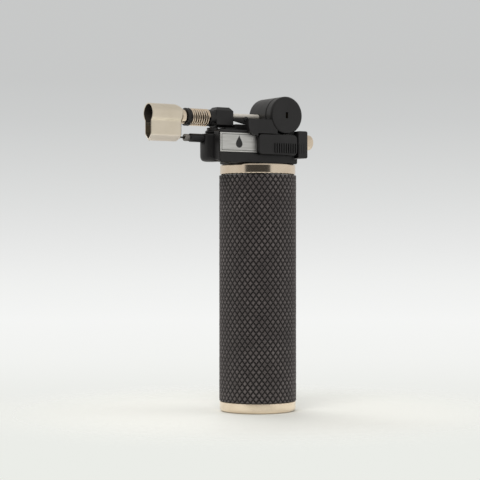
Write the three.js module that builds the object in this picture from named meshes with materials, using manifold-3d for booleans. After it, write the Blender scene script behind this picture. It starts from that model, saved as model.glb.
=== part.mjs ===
// Self-igniting butane micro torch, millimetres, +Z up.
// The origin is on the grip's axis at the standing plane. The burner points to -X, the label side is -Y.
import * as THREE from "three";
import { mergeVertices } from "three/addons/utils/BufferGeometryUtils.js";
import Module from "manifold-3d";

const wasm = await Module();
wasm.setup();

// Driving dimensions.
const gap = 0.3;
const grip = { radius: 18, bore: 16.2, bottom: 5.05, top: 109.8 };
const base = { radius: 17.75, height: 4.75, floor: 3.2, footInner: 15.4, footOuter: 16.6 };
const neckRing = { radius: 17.6, bottom: 110.1, top: 114.8, chamfer: 0.5 };
const tank = { outer: 15.9, wall: 1.0, top: 114.2, neck: 4.3 };
const valve = { shank: 3.1, stem: 1.1, tipZ: 0.35, top: 14 };
const fitting = { bottom: 104, shank: 3.9, flange: 6.6, top: 119, bore: 0.9 };
const house = {
  front: -26.5, farFront: -22.4, rear: 15.7, halfWidth: 10, bottom: 115.1, top: 130, wall: 1.6, split: 0.15,
};
const recess = { rear: -14.5, near: -8.4, top: 116.3 };
const cavity = { front: -19, rear: 14.1, floor: 117.7, roof: 127.2 };
const label = { front: -26.1, rear: -6.5, bottom: 119.9, top: 128.7, thickness: 0.6 };
const column = { x: -25.5, radius: 4.8, bottom: 115.6, top: 128.4 };
const burner = { z: 135.7, barrel: 2.3, bore: 1.5, front: -47.5, rear: -19.8 };
const holder = {
  front: -24.5, rear: -15.5, halfWidth: 3.8, bottom: 131.5, top: 140.7, boss: 3.8, bossFront: -27.4,
};
const spring = { front: -36.9, rear: -27.8, radius: 3.7, wire: 0.35, turns: 8.5 };
const collar = { front: -39.3, rear: -37.3, radius: 4.1, port: 0.7 };
const guard = {
  z: 136.6, mouth: -57.9, rear: -42.2, round: 4.55, channel: 3.0, vTop: 126.9, vTip: 124.3, sheet: 0.5,
};
const electrode = {
  z: 126.3, sleeve: 1.95, sleeveFront: -37.1, insulator: 1.25, tip: 1.65, tipFront: -39.5, pin: 0.4,
};
const drum = { x: 8.5, z: 137.6, radius: 8.7, knobNear: -12, knobFar: -7.5, near: -7.2, far: 8 };
const gasTube = { z: 137.05, radius: 1.25, bore: 0.6, front: -18, rear: 2.5 };
const cheek = { left: -12.8, right: 3, near: -12.6, back: -10.3, top: 135.2, corner: 5.2, bottom: 127.4 };
const piezo = { y: -7.6, z: 125.5, radius: 2.4, front: -6.2, rear: 8.3 };
const cover = { front: -7.2, rear: 14, near: -13, back: -10.3, bottom: 119, top: 128.4, corner: 2.2 };
const endCap = { front: 14.3, rear: 19.6, near: -13.4, far: -1.5, bottom: 117.8, top: 130.5 };
const button = { radius: 3.6, rear: 18.2, tip: 24.8 };
const screw = { head: 2.0, shank: 1.0, boss: 1.9, hole: 1.3, seatY: 9.0 };
const screwPlaces = [[-16.3, 119.2], [11.6, 119.2], [-15.5, 126]];

// Finishes.
const finish = (color, roughness, metalness) =>
  new THREE.MeshStandardMaterial({ color, roughness, metalness });
const knurledBlack = finish(0x2a2727, 0.55, 0.1);
const mouldedBlack = finish(0x1f1e1e, 0.45, 0.0);
const polishedNickel = finish(0xd8ccb8, 0.15, 1.0);
const satinNickel = finish(0xc5b59b, 0.3, 1.0);
const brass = finish(0xb8953f, 0.3, 1.0);
const steel = finish(0xb4b6b8, 0.3, 1.0);
const darkenedSteel = finish(0x2c2a28, 0.45, 0.8);
const aluminium = finish(0xb9bcc0, 0.35, 1.0);
const ceramic = finish(0xe6e0d2, 0.5, 0.0);
const rubber = finish(0x151515, 0.8, 0.0);
const silverFoil = finish(0xc4c6c4, 0.35, 0.6);
const clearTube = finish(0xd9dad6, 0.4, 0.0);
const leadCover = finish(0x8c1d18, 0.5, 0.0);

const torch = new THREE.Group();

// Boolean helpers: a closed three.js geometry becomes a manifold solid and back.
function solid(geometry) {
  const bare = geometry.index ? geometry.toNonIndexed() : geometry.clone();
  bare.deleteAttribute("normal");
  bare.deleteAttribute("uv");
  const merged = mergeVertices(bare, 1e-4);
  return new wasm.Manifold(new wasm.Mesh({
    numProp: 3,
    vertProperties: new Float32Array(merged.attributes.position.array),
    triVerts: new Uint32Array(merged.index.array),
  }));
}

function geometryOf(manifold) {
  const mesh = manifold.getMesh();
  const geometry = new THREE.BufferGeometry();
  geometry.setAttribute("position", new THREE.BufferAttribute(new Float32Array(mesh.vertProperties), 3));
  geometry.setIndex(new THREE.BufferAttribute(new Uint32Array(mesh.triVerts), 1));
  geometry.computeVertexNormals();
  return geometry;
}

const cut = (body, ...tools) => tools.reduce((left, tool) => left.subtract(tool), body);
const join = (body, ...others) => others.reduce((sum, other) => sum.add(other), body);

// Puts a shape of (Y, Z) points along X, or a shape of (X, Z) points along Y.
const alongX = new THREE.Matrix4().makeBasis(
  new THREE.Vector3(0, 1, 0), new THREE.Vector3(0, 0, 1), new THREE.Vector3(1, 0, 0));
const alongMinusY = new THREE.Matrix4().makeRotationX(Math.PI / 2);

function prismX(shape, x0, x1, curveSegments = 16) {
  const options = { depth: x1 - x0, bevelEnabled: false, curveSegments };
  return solid(new THREE.ExtrudeGeometry(shape, options).applyMatrix4(alongX).translate(x0, 0, 0));
}

function prismY(shape, y0, y1, curveSegments = 6) {
  const options = { depth: y1 - y0, bevelEnabled: false, curveSegments };
  return solid(new THREE.ExtrudeGeometry(shape, options).applyMatrix4(alongMinusY).translate(0, y1, 0));
}

function prismZ(shape, z0, z1, curveSegments = 12) {
  const options = { depth: z1 - z0, bevelEnabled: false, curveSegments };
  return solid(new THREE.ExtrudeGeometry(shape, options).translate(0, 0, z0));
}

function box(x0, x1, y0, y1, z0, z1) {
  const block = new THREE.BoxGeometry(x1 - x0, y1 - y0, z1 - z0);
  return solid(block.translate((x0 + x1) / 2, (y0 + y1) / 2, (z0 + z1) / 2));
}

// A turned piece from [radius, height] points. It turns about an axis along X, Y or Z through the centre.
function turned(profile, axis, centre, segments = 24) {
  const last = profile[profile.length - 1];
  const open = profile[0][0] > 0 || last[0] > 0;
  const points = (open ? [...profile, profile[0]] : profile).map(([r, h]) => new THREE.Vector2(r, h));
  const geometry = new THREE.LatheGeometry(points, segments);
  if (axis === "Z") geometry.rotateX(Math.PI / 2);
  if (axis === "X") geometry.rotateZ(-Math.PI / 2);
  let body = solid(geometry.translate(...centre));
  if (body.volume() < 0) body = solid(flipped(geometry));
  return body;
}

function flipped(geometry) {
  const copy = geometry.toNonIndexed();
  const position = copy.attributes.position;
  for (let i = 0; i < position.count; i += 3) {
    const a = new THREE.Vector3().fromBufferAttribute(position, i);
    const b = new THREE.Vector3().fromBufferAttribute(position, i + 1);
    position.setXYZ(i, b.x, b.y, b.z);
    position.setXYZ(i + 1, a.x, a.y, a.z);
  }
  return copy;
}

const rod = (axis, centre, radius, from, to, segments = 16) =>
  turned([[0, from], [radius, from], [radius, to], [0, to]], axis, centre, segments);

const ring = (axis, centre, inner, outer, from, to, segments = 24) =>
  turned([[inner, from], [outer, from], [outer, to], [inner, to]], axis, centre, segments);

// A round wire or tube along a curve.
function swept(path, radius, steps, sides = 6, bore = 0) {
  const section = new THREE.Shape();
  section.absarc(0, 0, radius, 0, 2 * Math.PI);
  if (bore > 0) {
    const hole = new THREE.Path();
    hole.absarc(0, 0, bore, 0, 2 * Math.PI, true);
    section.holes.push(hole);
  }
  const curveSegments = Math.ceil(sides / 2);
  return new THREE.ExtrudeGeometry(section, { extrudePath: path, steps, curveSegments });
}

// A compression spring's centre line about an axis along X or Z.
class Coil extends THREE.Curve {
  constructor(axis, centre, radius, from, to, turns) {
    super();
    Object.assign(this, { axis, centre, radius, from, to, turns });
  }

  getPoint(t, target = new THREE.Vector3()) {
    const angle = 2 * Math.PI * this.turns * t;
    const along = this.from + (this.to - this.from) * t;
    const u = this.radius * Math.cos(angle);
    const v = this.radius * Math.sin(angle);
    const [x, y, z] = this.centre;
    return this.axis === "X" ? target.set(along, y + u, z + v) : target.set(x + u, y + v, along);
  }
}

function springOf(axis, centre, radius, wire, from, to, turns) {
  const stepsPerTurn = 8;
  return swept(new Coil(axis, centre, radius, from, to, turns), wire, Math.round(turns * stepsPerTurn), 4);
}

// A rectangle or polygon outline with its corners cut or rounded.
function outline(points) {
  const shape = new THREE.Shape();
  points.forEach(([u, v], i) => (i ? shape.lineTo(u, v) : shape.moveTo(u, v)));
  shape.closePath();
  return shape;
}

function roundedRect(u0, u1, v0, v1, r) {
  const shape = new THREE.Shape();
  shape.moveTo(u0 + r, v0);
  shape.lineTo(u1 - r, v0);
  shape.absarc(u1 - r, v0 + r, r, -Math.PI / 2, 0);
  shape.lineTo(u1, v1 - r);
  shape.absarc(u1 - r, v1 - r, r, 0, Math.PI / 2);
  shape.lineTo(u0 + r, v1);
  shape.absarc(u0 + r, v1 - r, r, Math.PI / 2, Math.PI);
  shape.lineTo(u0, v0 + r);
  shape.absarc(u0 + r, v0 + r, r, Math.PI, 1.5 * Math.PI);
  return shape;
}

function hexagon(acrossFlats, hole) {
  const corner = acrossFlats / Math.sqrt(3);
  const angles = [0, 1, 2, 3, 4, 5].map((i) => i * Math.PI / 3);
  const shape = outline(angles.map((angle) => [corner * Math.cos(angle), corner * Math.sin(angle)]));
  const bore = new THREE.Path();
  bore.absarc(0, 0, hole, 0, 2 * Math.PI, true);
  shape.holes.push(bore);
  return shape;
}

function add(name, body, material) {
  const geometry = body.isBufferGeometry ? body : geometryOf(body);
  const mesh = new THREE.Mesh(geometry, material);
  mesh.name = name;
  torch.add(mesh);
}

const onAxis = [0, 0, 0];
const onBurner = [0, 0, burner.z];
const onTube = [0, 0, gasTube.z];

// Fuel tank: drawn can, bottom cap with a standing ring, knurled sleeve and polished neck ring.
function makeTank() {
  const inner = tank.outer - tank.wall;
  const shoulder = 0.8;
  const capTop = base.height + 0.35;
  const shell = turned([
    [tank.outer, capTop], [tank.outer, tank.top - shoulder], [tank.outer - shoulder, tank.top],
    [tank.neck, tank.top], [tank.neck, tank.top - tank.wall], [inner, tank.top - tank.wall], [inner, capTop],
  ], "Z", onAxis, 36);
  const spigot = inner - gap;
  const portRadius = valve.shank + gap;
  const spigotTop = 9;
  const spigotWall = 1.2;
  const floorTop = base.floor + 1.6;
  const bottom = turned([
    [portRadius, base.floor], [base.footInner - 0.8, base.floor], [base.footInner, 0.6], [base.footInner, 0],
    [base.footOuter, 0], [base.radius - 0.35, 0.5], [base.radius, 1.4], [base.radius, base.height],
    [spigot, base.height], [spigot, spigotTop], [spigot - spigotWall, spigotTop],
    [spigot - spigotWall, floorTop], [portRadius, floorTop],
  ], "Z", onAxis, 40);
  const sleeve = ring("Z", onAxis, grip.bore, grip.radius, grip.bottom, grip.top, 40);
  const { radius, bottom: low, top: high, chamfer } = neckRing;
  const neck = turned([
    [grip.bore, low], [radius - chamfer, low], [radius, low + chamfer], [radius, high - chamfer],
    [radius - chamfer, high], [grip.bore, high],
  ], "Z", onAxis, 40);
  add("tank_shell", shell, aluminium);
  add("base_cap", bottom, polishedNickel);
  add("grip_sleeve", sleeve, knurledBlack);
  add("neck_ring", neck, polishedNickel);
}

// Refill valve in the middle of the base: body, sprung stem, gasket, spring and the nut inside the tank.
function makeFillValve() {
  const collarRadius = 4.6;
  const collarTop = base.floor - gap;
  const mouth = 0.9;
  const chamber = 2.4;
  const seat = 3.6;
  const ceiling = 12.8;
  const body = turned([
    [valve.stem + gap, mouth], [collarRadius - 0.4, mouth], [collarRadius, mouth + 0.4],
    [collarRadius, collarTop], [valve.shank, collarTop], [valve.shank, valve.top], [1, valve.top],
    [1, ceiling], [chamber, ceiling], [chamber, seat], [valve.stem + gap, seat],
  ], "Z", onAxis, 20);
  const shoulder = 5;
  const stem = turned([
    [0, valve.tipZ], [valve.stem - 0.2, valve.tipZ], [valve.stem, valve.tipZ + 0.25], [valve.stem, shoulder],
    [2, shoulder], [2, shoulder + 0.8], [0.6, shoulder + 0.8], [0.6, 9], [0, 9],
  ], "Z", onAxis, 24);
  add("fill_valve_body", body, brass);
  add("fill_valve_stem", stem, brass);
  add("fill_valve_gasket", ring("Z", onAxis, valve.stem + gap, 2.1, seat + gap, shoulder - gap, 24), rubber);
  add("fill_valve_spring", springOf("Z", onAxis, 1.5, 0.22, 6.35, 12.25, 7), steel);
  add("fill_valve_nut", prismZ(hexagon(9, valve.shank + gap), base.floor + 1.9, base.floor + 4.4), brass);
}

// Fuel path: filter and pickup tube in the tank, the outlet fitting in its neck, the riser to the valve.
function makeFuelPath() {
  const { bottom, shank, flange, top, bore } = fitting;
  const seat = tank.top + gap;
  const body = turned([
    [bore, bottom], [shank, bottom], [shank, seat], [flange, seat], [flange, seat + 1.9], [2.2, seat + 1.9],
    [2.2, top], [bore, top],
  ], "Z", onAxis, 20);
  const riserPath = new THREE.CatmullRomCurve3([
    new THREE.Vector3(0, 0, top + gap), new THREE.Vector3(0, 0, top + 1.6), new THREE.Vector3(2, 0, top + 3),
    new THREE.Vector3(6.3, 0, top + 4.2), new THREE.Vector3(drum.x, 0, top + 6),
    new THREE.Vector3(drum.x, 0, top + 9), new THREE.Vector3(drum.x, 0, top + 11.4),
  ]);
  add("tank_outlet_fitting", body, brass);
  add("pickup_tube", ring("Z", onAxis, 1, 1.6, 24, bottom - gap, 16), clearTube);
  add("pickup_filter", ring("Z", onAxis, 1.9, 3, 22, 34, 24), brass);
  add("riser_tube", swept(riserPath, 1, 14, 6, 0.5), brass);
}

// The head's shell before it is split: walls, roof cradle for the drum and a slot for the front column.
function headShell() {
  const { front, rear, halfWidth, bottom, top, wall } = house;
  const corner = 1.0;
  const profile = outline([
    [front + corner, bottom], [rear - 0.6, bottom], [rear, bottom + 0.6], [rear, top - 0.6],
    [rear - 0.6, top], [front + corner, top], [front, top - corner], [front, bottom + corner],
  ]);
  const cradle = rod("Y", [drum.x, 0, drum.z], drum.radius + gap, -20, 20, 40);
  const columnSlot = rod("Z", [column.x, 0, 0], column.radius + gap, bottom - 1, top + 1, 32);
  const inner = halfWidth - wall;
  const inside = box(cavity.front, cavity.rear, -inner, inner, cavity.floor, cavity.roof);
  const fittingHole = rod("Z", onAxis, fitting.flange + 0.4, bottom - 1, cavity.floor + 1, 32);
  const underside = box(front - 1, recess.rear, recess.near, halfWidth + 1, bottom - 1, recess.top);
  const riserHole = rod("Z", [drum.x, 0, 0], 1.4, cavity.roof - 1, top, 16);
  const leadSlot = box(column.x + 4.5, cavity.front + 0.5, -1, 1, 122.4, 125.6);
  const capNotch = box(
    endCap.front - gap, rear + 1, -halfWidth - 1, endCap.far + gap, endCap.bottom - gap, top + 1);
  const shell = cut(prismY(profile, -halfWidth, halfWidth), cradle, columnSlot, inside, fittingHole);
  return cut(shell, riserHole, leadSlot, capNotch, underside);
}

function bosses(y0, y1) {
  return screwPlaces.map(([x, z]) => rod("Y", [x, 0, z], screw.boss, y0, y1, 12));
}

// Near half carries the label pocket and the igniter window, far half carries the screw heads.
function makeHead() {
  const { front, halfWidth, wall, split } = house;
  const inner = halfWidth - wall + 0.05;
  const [reach, above] = [60, 200];
  const shell = headShell();
  const nearBlank = shell.intersect(box(-reach, reach, -reach, -split, 0, above));
  const farBlank = shell.intersect(box(house.farFront, reach, split, reach, 0, above));
  const pocket = box(
    front - 1, label.rear + gap, -halfWidth - 1, -halfWidth + label.thickness + gap,
    label.bottom - gap, label.top + gap);
  const window = box(-6.5, endCap.front, -halfWidth - 1, piezo.y + 2.8, piezo.z - 3, piezo.z + 2.7);
  const nearHoles = screwPlaces.map(([x, z]) => rod("Y", [x, 0, z], screw.hole, -5.5, 1, 8));
  const farHoles = screwPlaces.map(([x, z]) => rod("Y", [x, 0, z], screw.hole, -1, halfWidth + 1, 8));
  const sinkRadius = screw.head + gap;
  const sinks = screwPlaces.map(([x, z]) => rod("Y", [x, 0, z], sinkRadius, screw.seatY, halfWidth + 1, 16));
  const near = join(nearBlank, ...bosses(-inner, -split));
  const far = join(farBlank, ...bosses(split, inner));
  add("head_near_half", cut(near, pocket, window, ...nearHoles), mouldedBlack);
  add("head_far_half", cut(far, ...farHoles, ...sinks), mouldedBlack);
  screwPlaces.forEach(([x, z], i) => add(`housing_screw_${i + 1}`, housingScrew(x, z), steel));
  add("label_plate", labelPlate(), silverFoil);
}

function housingScrew(x, z) {
  const headY = screw.seatY + gap;
  const body = turned([
    [0, -5], [screw.shank, -4.4], [screw.shank, headY], [screw.head, headY],
    [screw.head, house.halfWidth - 0.3], [screw.head - 0.4, house.halfWidth], [0, house.halfWidth],
  ], "Y", [x, 0, z], 16);
  const slotDepth = 0.4;
  const top = house.halfWidth;
  const across = box(x - 1.3, x + 1.3, top - slotDepth, top + 1, z - 0.25, z + 0.25);
  const down = box(x - 0.25, x + 0.25, top - slotDepth, top + 1, z - 1.3, z + 1.3);
  return cut(body, across, down);
}

function labelPlate() {
  const face = -house.halfWidth;
  return box(label.front, label.rear, face, face + label.thickness, label.bottom, label.top);
}

// Front column with the ignition electrode: sleeve, ceramic, pin and the lead from the igniter.
function makeElectrode() {
  const { x, radius, bottom, top } = column;
  const { z, sleeve, sleeveFront, insulator, tip, tipFront, pin } = electrode;
  const body = turned([
    [0, bottom], [radius - 2, bottom], [radius - 0.9, bottom + 0.4], [radius - 0.3, bottom + 1.1],
    [radius, bottom + 2.2], [radius, top - 0.6], [radius - 0.6, top], [0, top],
  ], "Z", [x, 0, 0], 28);
  const sleeveBore = rod("X", [0, 0, z], sleeve + gap, x - radius - 1, x - 0.3, 24);
  const pinBore = rod("X", [0, 0, z], pin + 0.4, x - 1, x + 1.5, 16);
  const leadSlot = box(x + 1.1, x + radius + 1, -1, 1, 122.4, z + 1);
  const pinPath = new THREE.CatmullRomCurve3([
    new THREE.Vector3(x + 0.8, 0, z), new THREE.Vector3(-34, 0, z), new THREE.Vector3(-44, 0, z),
    new THREE.Vector3(-49, 0, z), new THREE.Vector3(-51.3, 0, z + 0.8), new THREE.Vector3(-52, 0, z + 3.4),
  ]);
  const leadPath = new THREE.CatmullRomCurve3([
    new THREE.Vector3(-6.5, piezo.y, piezo.z), new THREE.Vector3(-9.5, -7, 124.6),
    new THREE.Vector3(-13, -5, 122.9), new THREE.Vector3(-16.5, -2.2, 122.8),
    new THREE.Vector3(-19, -0.2, 123.6), new THREE.Vector3(-21, 0, 124.5), new THREE.Vector3(-23, 0, 125.8),
    new THREE.Vector3(x + 1.6, 0, z - 0.1),
  ]);
  add("front_column", cut(body, sleeveBore, pinBore, leadSlot), mouldedBlack);
  const sleeveTube = ring("X", [0, 0, z], insulator + gap, sleeve, sleeveFront, x - 0.6, 24);
  const tipBack = sleeveFront - gap;
  const ceramicTube = turned([
    [pin + gap, tipFront], [tip, tipFront], [tip, tipBack], [insulator, tipBack], [insulator, x - 0.9],
    [pin + gap, x - 0.9],
  ], "X", [0, 0, z], 20);
  add("electrode_sleeve", sleeveTube, mouldedBlack);
  add("electrode_insulator", ceramicTube, ceramic);
  add("electrode_pin", swept(pinPath, pin, 16, 6), darkenedSteel);
  add("lead_wire", swept(leadPath, 0.5, 16, 6), leadCover);
}

// Burner: neck disc, holder block, barrel with air ports, jet, spring, air collar, neck ring and nozzle.
function makeBurner() {
  const neck = turned([
    [0, column.top + gap], [3.2, column.top + gap], [3.4, column.top + 0.6], [3.4, column.top + 1.2],
    [2.6, column.top + 1.7], [2.6, holder.bottom - gap], [0, holder.bottom - gap],
  ], "Z", [column.x + 1, 0, 0], 32);
  const portX = (collar.front + collar.rear) / 2;
  const barrel = ring("X", onBurner, burner.bore, burner.barrel, burner.front, burner.rear, 24);
  const ports = rod("Z", [portX, 0, 0], collar.port, burner.z - 4, burner.z + 4, 8);
  const jet = turned([
    [0.3, -22.3], [0.7, -22.3], [1.2, -21], [1.2, -19.5], [2.2, -19.5], [2.2, -18.3], [0.3, -18.3],
  ], "X", onBurner, 24);
  const airRing = ring("X", onBurner, burner.barrel + gap, collar.radius, collar.front, collar.rear, 28);
  const airPorts = rod("Z", [portX, 0, 0], collar.port, burner.z - 6, burner.z + 6, 8);
  const nozzle = turned([
    [1.4, -52], [2.6, -52], [3, -51.5], [3, -43.6], [burner.barrel + gap, -43.6],
    [burner.barrel + gap, burner.front - gap], [1.4, burner.front - gap],
  ], "X", onBurner, 24);
  const { front, rear, radius, wire, turns } = spring;
  add("holder_neck", neck, mouldedBlack);
  add("burner_holder", burnerHolder(), mouldedBlack);
  add("burner_barrel", cut(barrel, ports), darkenedSteel);
  add("jet_nipple", jet, brass);
  add("air_spring", springOf("X", onBurner, radius, wire, front, rear, turns), polishedNickel);
  add("air_collar", cut(airRing, airPorts), mouldedBlack);
  add("guard_neck_ring", ring("X", onBurner, burner.barrel + gap, 3.3, -41.9, -39.6, 24), polishedNickel);
  add("burner_nozzle", nozzle, steel);
}

// Holder block: an eight-sided bar whose ends are chamfered, bored for the barrel, the jet and the gas tube.
function burnerHolder() {
  const { front, rear, halfWidth: w, bottom, top } = holder;
  const upper = 1.6;
  const lower = 1.0;
  const section = outline([
    [-w + lower, bottom], [w - lower, bottom], [w, bottom + lower], [w, top - upper], [w - upper, top],
    [-w + upper, top], [-w, top - upper], [-w, bottom + lower],
  ]);
  const side = outline([
    [front, bottom - 1], [rear, bottom - 1], [rear, top - 1.8], [rear - 1.4, top + 0.1],
    [front + 1.2, top + 0.1], [front, top - 1.4],
  ]);
  const boss = rod("X", onBurner, holder.boss, holder.bossFront, front + 1, 32);
  const barrelBore = rod("X", onBurner, burner.barrel + gap, holder.bossFront - 1, -18, 32);
  const tubeBore = rod("X", onTube, gasTube.radius + gap, -19, rear + 1, 24);
  const bar = prismX(section, front, rear).intersect(prismY(side, -w - 1, w + 1));
  return cut(join(bar, boss), barrelBore, tubeBore);
}

// Guard outline in the burner's cross-section: round above, a straight channel, then a V.
function guardOutline(inset) {
  const round = guard.round - inset;
  const side = guard.channel - inset;
  const waist = Math.asin(side / round);
  const vShift = inset * 0.4;
  const shape = new THREE.Shape();
  shape.moveTo(0, guard.vTip + 1.3 * inset);
  shape.lineTo(side, guard.vTop + vShift);
  shape.lineTo(side, guard.z - round * Math.cos(waist));
  shape.absarc(0, guard.z, round, waist - Math.PI / 2, 1.5 * Math.PI - waist);
  shape.lineTo(-side, guard.vTop + vShift);
  shape.closePath();
  return shape;
}

function guardSide(inset) {
  const { mouth, rear, vTip } = guard;
  const front = mouth - (inset > 0 ? 2 : 0);
  const back = rear - inset;
  const top = guard.z + guard.round + 0.2;
  const slant = 0.4 * inset;
  return outline([
    [front, vTip - 1], [back - 1.9 + slant, vTip - 1], [back - 1.1 - slant, vTip + inset * 0.5],
    [back, vTip + 1.3 + slant], [back, top - 2.1 - slant], [back - 2.2 + slant, top + 0.1 - inset],
    [front, top + 0.1 - inset],
  ]);
}

// Nozzle guard: a formed sheet box, open at the mouth, closed behind around the barrel and the electrode.
function makeGuard() {
  const { mouth, rear, sheet } = guard;
  const wide = 8;
  const outer = prismX(guardOutline(0), mouth, rear).intersect(prismY(guardSide(0), -wide, wide));
  const innerSide = prismY(guardSide(sheet), -wide, wide);
  const inner = prismX(guardOutline(sheet), mouth - 1, rear - sheet).intersect(innerSide);
  const barrelHole = rod("X", onBurner, burner.barrel + gap, rear - 3, rear + 1, 32);
  const pinHole = rod("X", [0, 0, electrode.z], 1, rear - 3, rear + 1, 16);
  add("nozzle_guard", cut(outer, inner, barrelHole, pinHole), satinNickel);
}

// Gas valve: fixed drum, control knob with its spindle, needle, seat and seal, the plug at the far end.
function makeGasValve() {
  const { x, z, radius, knobNear, knobFar, near, far } = drum;
  const centre = [x, 0, z];
  const edge = 0.6;
  const spindle = 1.6;
  const bodyBore = spindle + 0.5;
  const plug = 2.4;
  const housing = turned([
    [0, near], [radius, near], [radius, far - edge], [radius - edge, far], [0, far],
  ], "Y", centre, 40);
  const housingCuts = [
    rod("Y", centre, bodyBore, near - 1, 4.2), ring("Y", centre, 1.5, 3, -5.6, -3.8, 24),
    rod("X", onTube, gasTube.radius + gap, x - radius - 1, x),
    rod("Z", [x, 0, 0], 1.4, z - radius - 1, z, 16), rod("Y", centre, plug + gap, far - 2, far + 1),
    rod("Y", centre, 0.9, 3, far),
  ];
  const knob = turned([
    [0, knobNear], [radius - edge, knobNear], [radius, knobNear + edge], [radius, knobFar], [0, knobFar],
  ], "Y", centre, 40);
  const knobBore = rod("Y", centre, spindle + gap, knobNear + 1.5, knobFar + 1);
  const slot = box(x - 0.65, x + 0.65, knobNear - 1, knobNear + 2, z - 1.4, z + 1.4);
  const needle = turned([[0, -0.5], [1.1, -0.5], [1.1, 1.2], [0.45, 2.3], [0, 2.3]], "Y", centre, 20);
  const farPlug = rod("Y", centre, plug, far - 1.7, far - 0.2, 24);
  const plugSlot = box(x - 1.8, x + 1.8, far - 0.8, far + 1, z - 0.3, z + 0.3);
  const tubePath = new THREE.LineCurve3(
    new THREE.Vector3(gasTube.front, 0, gasTube.z), new THREE.Vector3(gasTube.rear, 0, gasTube.z));
  add("valve_housing", cut(housing, ...housingCuts), mouldedBlack);
  add("gas_knob", cut(knob, knobBore, slot), mouldedBlack);
  add("valve_spindle", rod("Y", centre, spindle, knobNear + 1.8, -1.4), brass);
  add("spindle_o_ring", sealRing(centre, 2.4, 0.42, -4.7), rubber);
  add("valve_needle", needle, steel);
  add("needle_seat", ring("Y", centre, 0.6, bodyBore - gap, 2.6, 3.8, 20), brass);
  add("valve_plug", cut(farPlug, plugSlot), brass);
  add("gas_tube", swept(tubePath, gasTube.radius, 1, 12, gasTube.bore), satinNickel);
}

function sealRing([x, , z], middle, section, y) {
  const torus = new THREE.TorusGeometry(middle, section, 6, 16);
  return solid(torus.rotateX(Math.PI / 2).translate(x, y, z));
}

// What stands on the roof: the deck under the burner, the cheek beside the drum and the tube arm.
function makeRoof() {
  const { left, right, near, back, top, corner, bottom } = cheek;
  const drumClear = rod("Y", [drum.x, 0, drum.z], drum.radius + gap, -20, 20, 40);
  const roofTop = house.top + gap;
  const tubeClear = rod("X", onTube, gasTube.radius + gap, -20, 12, 20);
  const coverClear = cover.front - gap;
  const face = new THREE.Shape();
  face.moveTo(left, top);
  face.lineTo(left, bottom + corner);
  face.absarc(left + corner, bottom + corner, corner, Math.PI, 1.47 * Math.PI);
  face.lineTo(coverClear, bottom + 0.02);
  face.lineTo(coverClear, cover.top + gap);
  face.lineTo(right, cover.top + gap);
  face.lineTo(right, top);
  face.closePath();
  const plate = prismY(face, near, back + 0.1);
  const bridge = box(-1.5, right, back, drum.far, roofTop, top);
  const deck = outline([
    [-20.6, roofTop], [-1.8, roofTop], [-1.8, 133], [-15, 133], [-15, holder.bottom - gap],
    [-20.6, holder.bottom - gap],
  ]);
  const armSide = outline([[-15.2, 134.9], [-8.6, 133.4], [-6.4, 133.2], [-6.4, 135.7], [-15.2, 135.7]]);
  const pin = rod("Y", [-7.9, 0, 135.5], 1.3, -2.9, -1.6, 20);
  const arm = join(prismY(armSide, -2.6, -1.0), pin);
  add("valve_cheek", cut(join(plate, bridge), drumClear, tubeClear), mouldedBlack);
  add("top_deck", prismY(deck, -5, 5), mouldedBlack);
  add("tube_arm", cut(arm, tubeClear), mouldedBlack);
}

// Igniter: ribbed cover, end cap, nickel button, plunger, springs, hammer, anvil, crystal and the tube.
function makeIgniter() {
  const { y, z, radius, front, rear } = piezo;
  const centre = [0, y, z];
  const bore = 1.9;
  const coverFace = roundedRect(cover.front, cover.rear, cover.bottom, cover.top, cover.corner);
  const hollow = box(-6.3, 12.6, -11.8, cover.back + 1, 120.4, 127);
  const shell = cut(prismY(coverFace, cover.near + 0.4, cover.back), hollow);
  const ribs = (from, to, y0, y1) => {
    const pitch = 1.25;
    const places = [];
    for (let x = from; x < to; x += pitch) places.push(box(x, x + 0.6, y0, y1, 120, 124.5));
    return places;
  };
  const capFace = roundedRect(endCap.front, endCap.rear, endCap.bottom, endCap.top, 0.9);
  const capBore = rod("X", centre, button.radius + gap, endCap.front - 1, endCap.rear + 1, 24);
  const cap = cut(prismY(capFace, endCap.near + 0.4, endCap.far), capBore);
  const push = turned([
    [0, button.rear], [button.radius, button.rear], [button.radius, button.tip - 1.4],
    [button.radius - 0.5, button.tip - 0.6], [button.radius - 1.7, button.tip - 0.15], [0, button.tip],
  ], "X", centre, 24);
  const plunger = turned([
    [0, 6.7], [1.6, 6.7], [1.6, 12.4], [2.1, 12.4], [2.1, button.rear - gap], [0, button.rear - gap],
  ], "X", centre, 20);
  add("igniter_cover", join(shell, ...ribs(1.5, 13, cover.near, cover.near + 0.6)), mouldedBlack);
  add("igniter_end_cap", join(cap, ...ribs(14.9, 18, cover.near, cover.near + 0.6)), mouldedBlack);
  add("igniter_button", push, polishedNickel);
  add("igniter_plunger", plunger, mouldedBlack);
  add("button_spring", springOf("X", centre, 1.95, 0.17, 8.9, 11.9, 4), steel);
  add("igniter_tube", ring("X", centre, bore, radius, front, rear, 24), mouldedBlack);
  add("hammer_spring", springOf("X", centre, 1.1, 0.15, 3.1, 6.2, 5), steel);
  add("igniter_hammer", rod("X", centre, 1.5, 0.2, 2.6, 20), steel);
  add("igniter_anvil", rod("X", centre, 1.5, -3, -2.1, 20), brass);
  add("piezo_crystal", rod("X", centre, 1.5, front + 0.2, -3.3, 20), ceramic);
}

makeTank();
makeFillValve();
makeFuelPath();
makeHead();
makeElectrode();
makeBurner();
makeGuard();
makeGasValve();
makeRoof();
makeIgniter();

export default torch;
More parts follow.
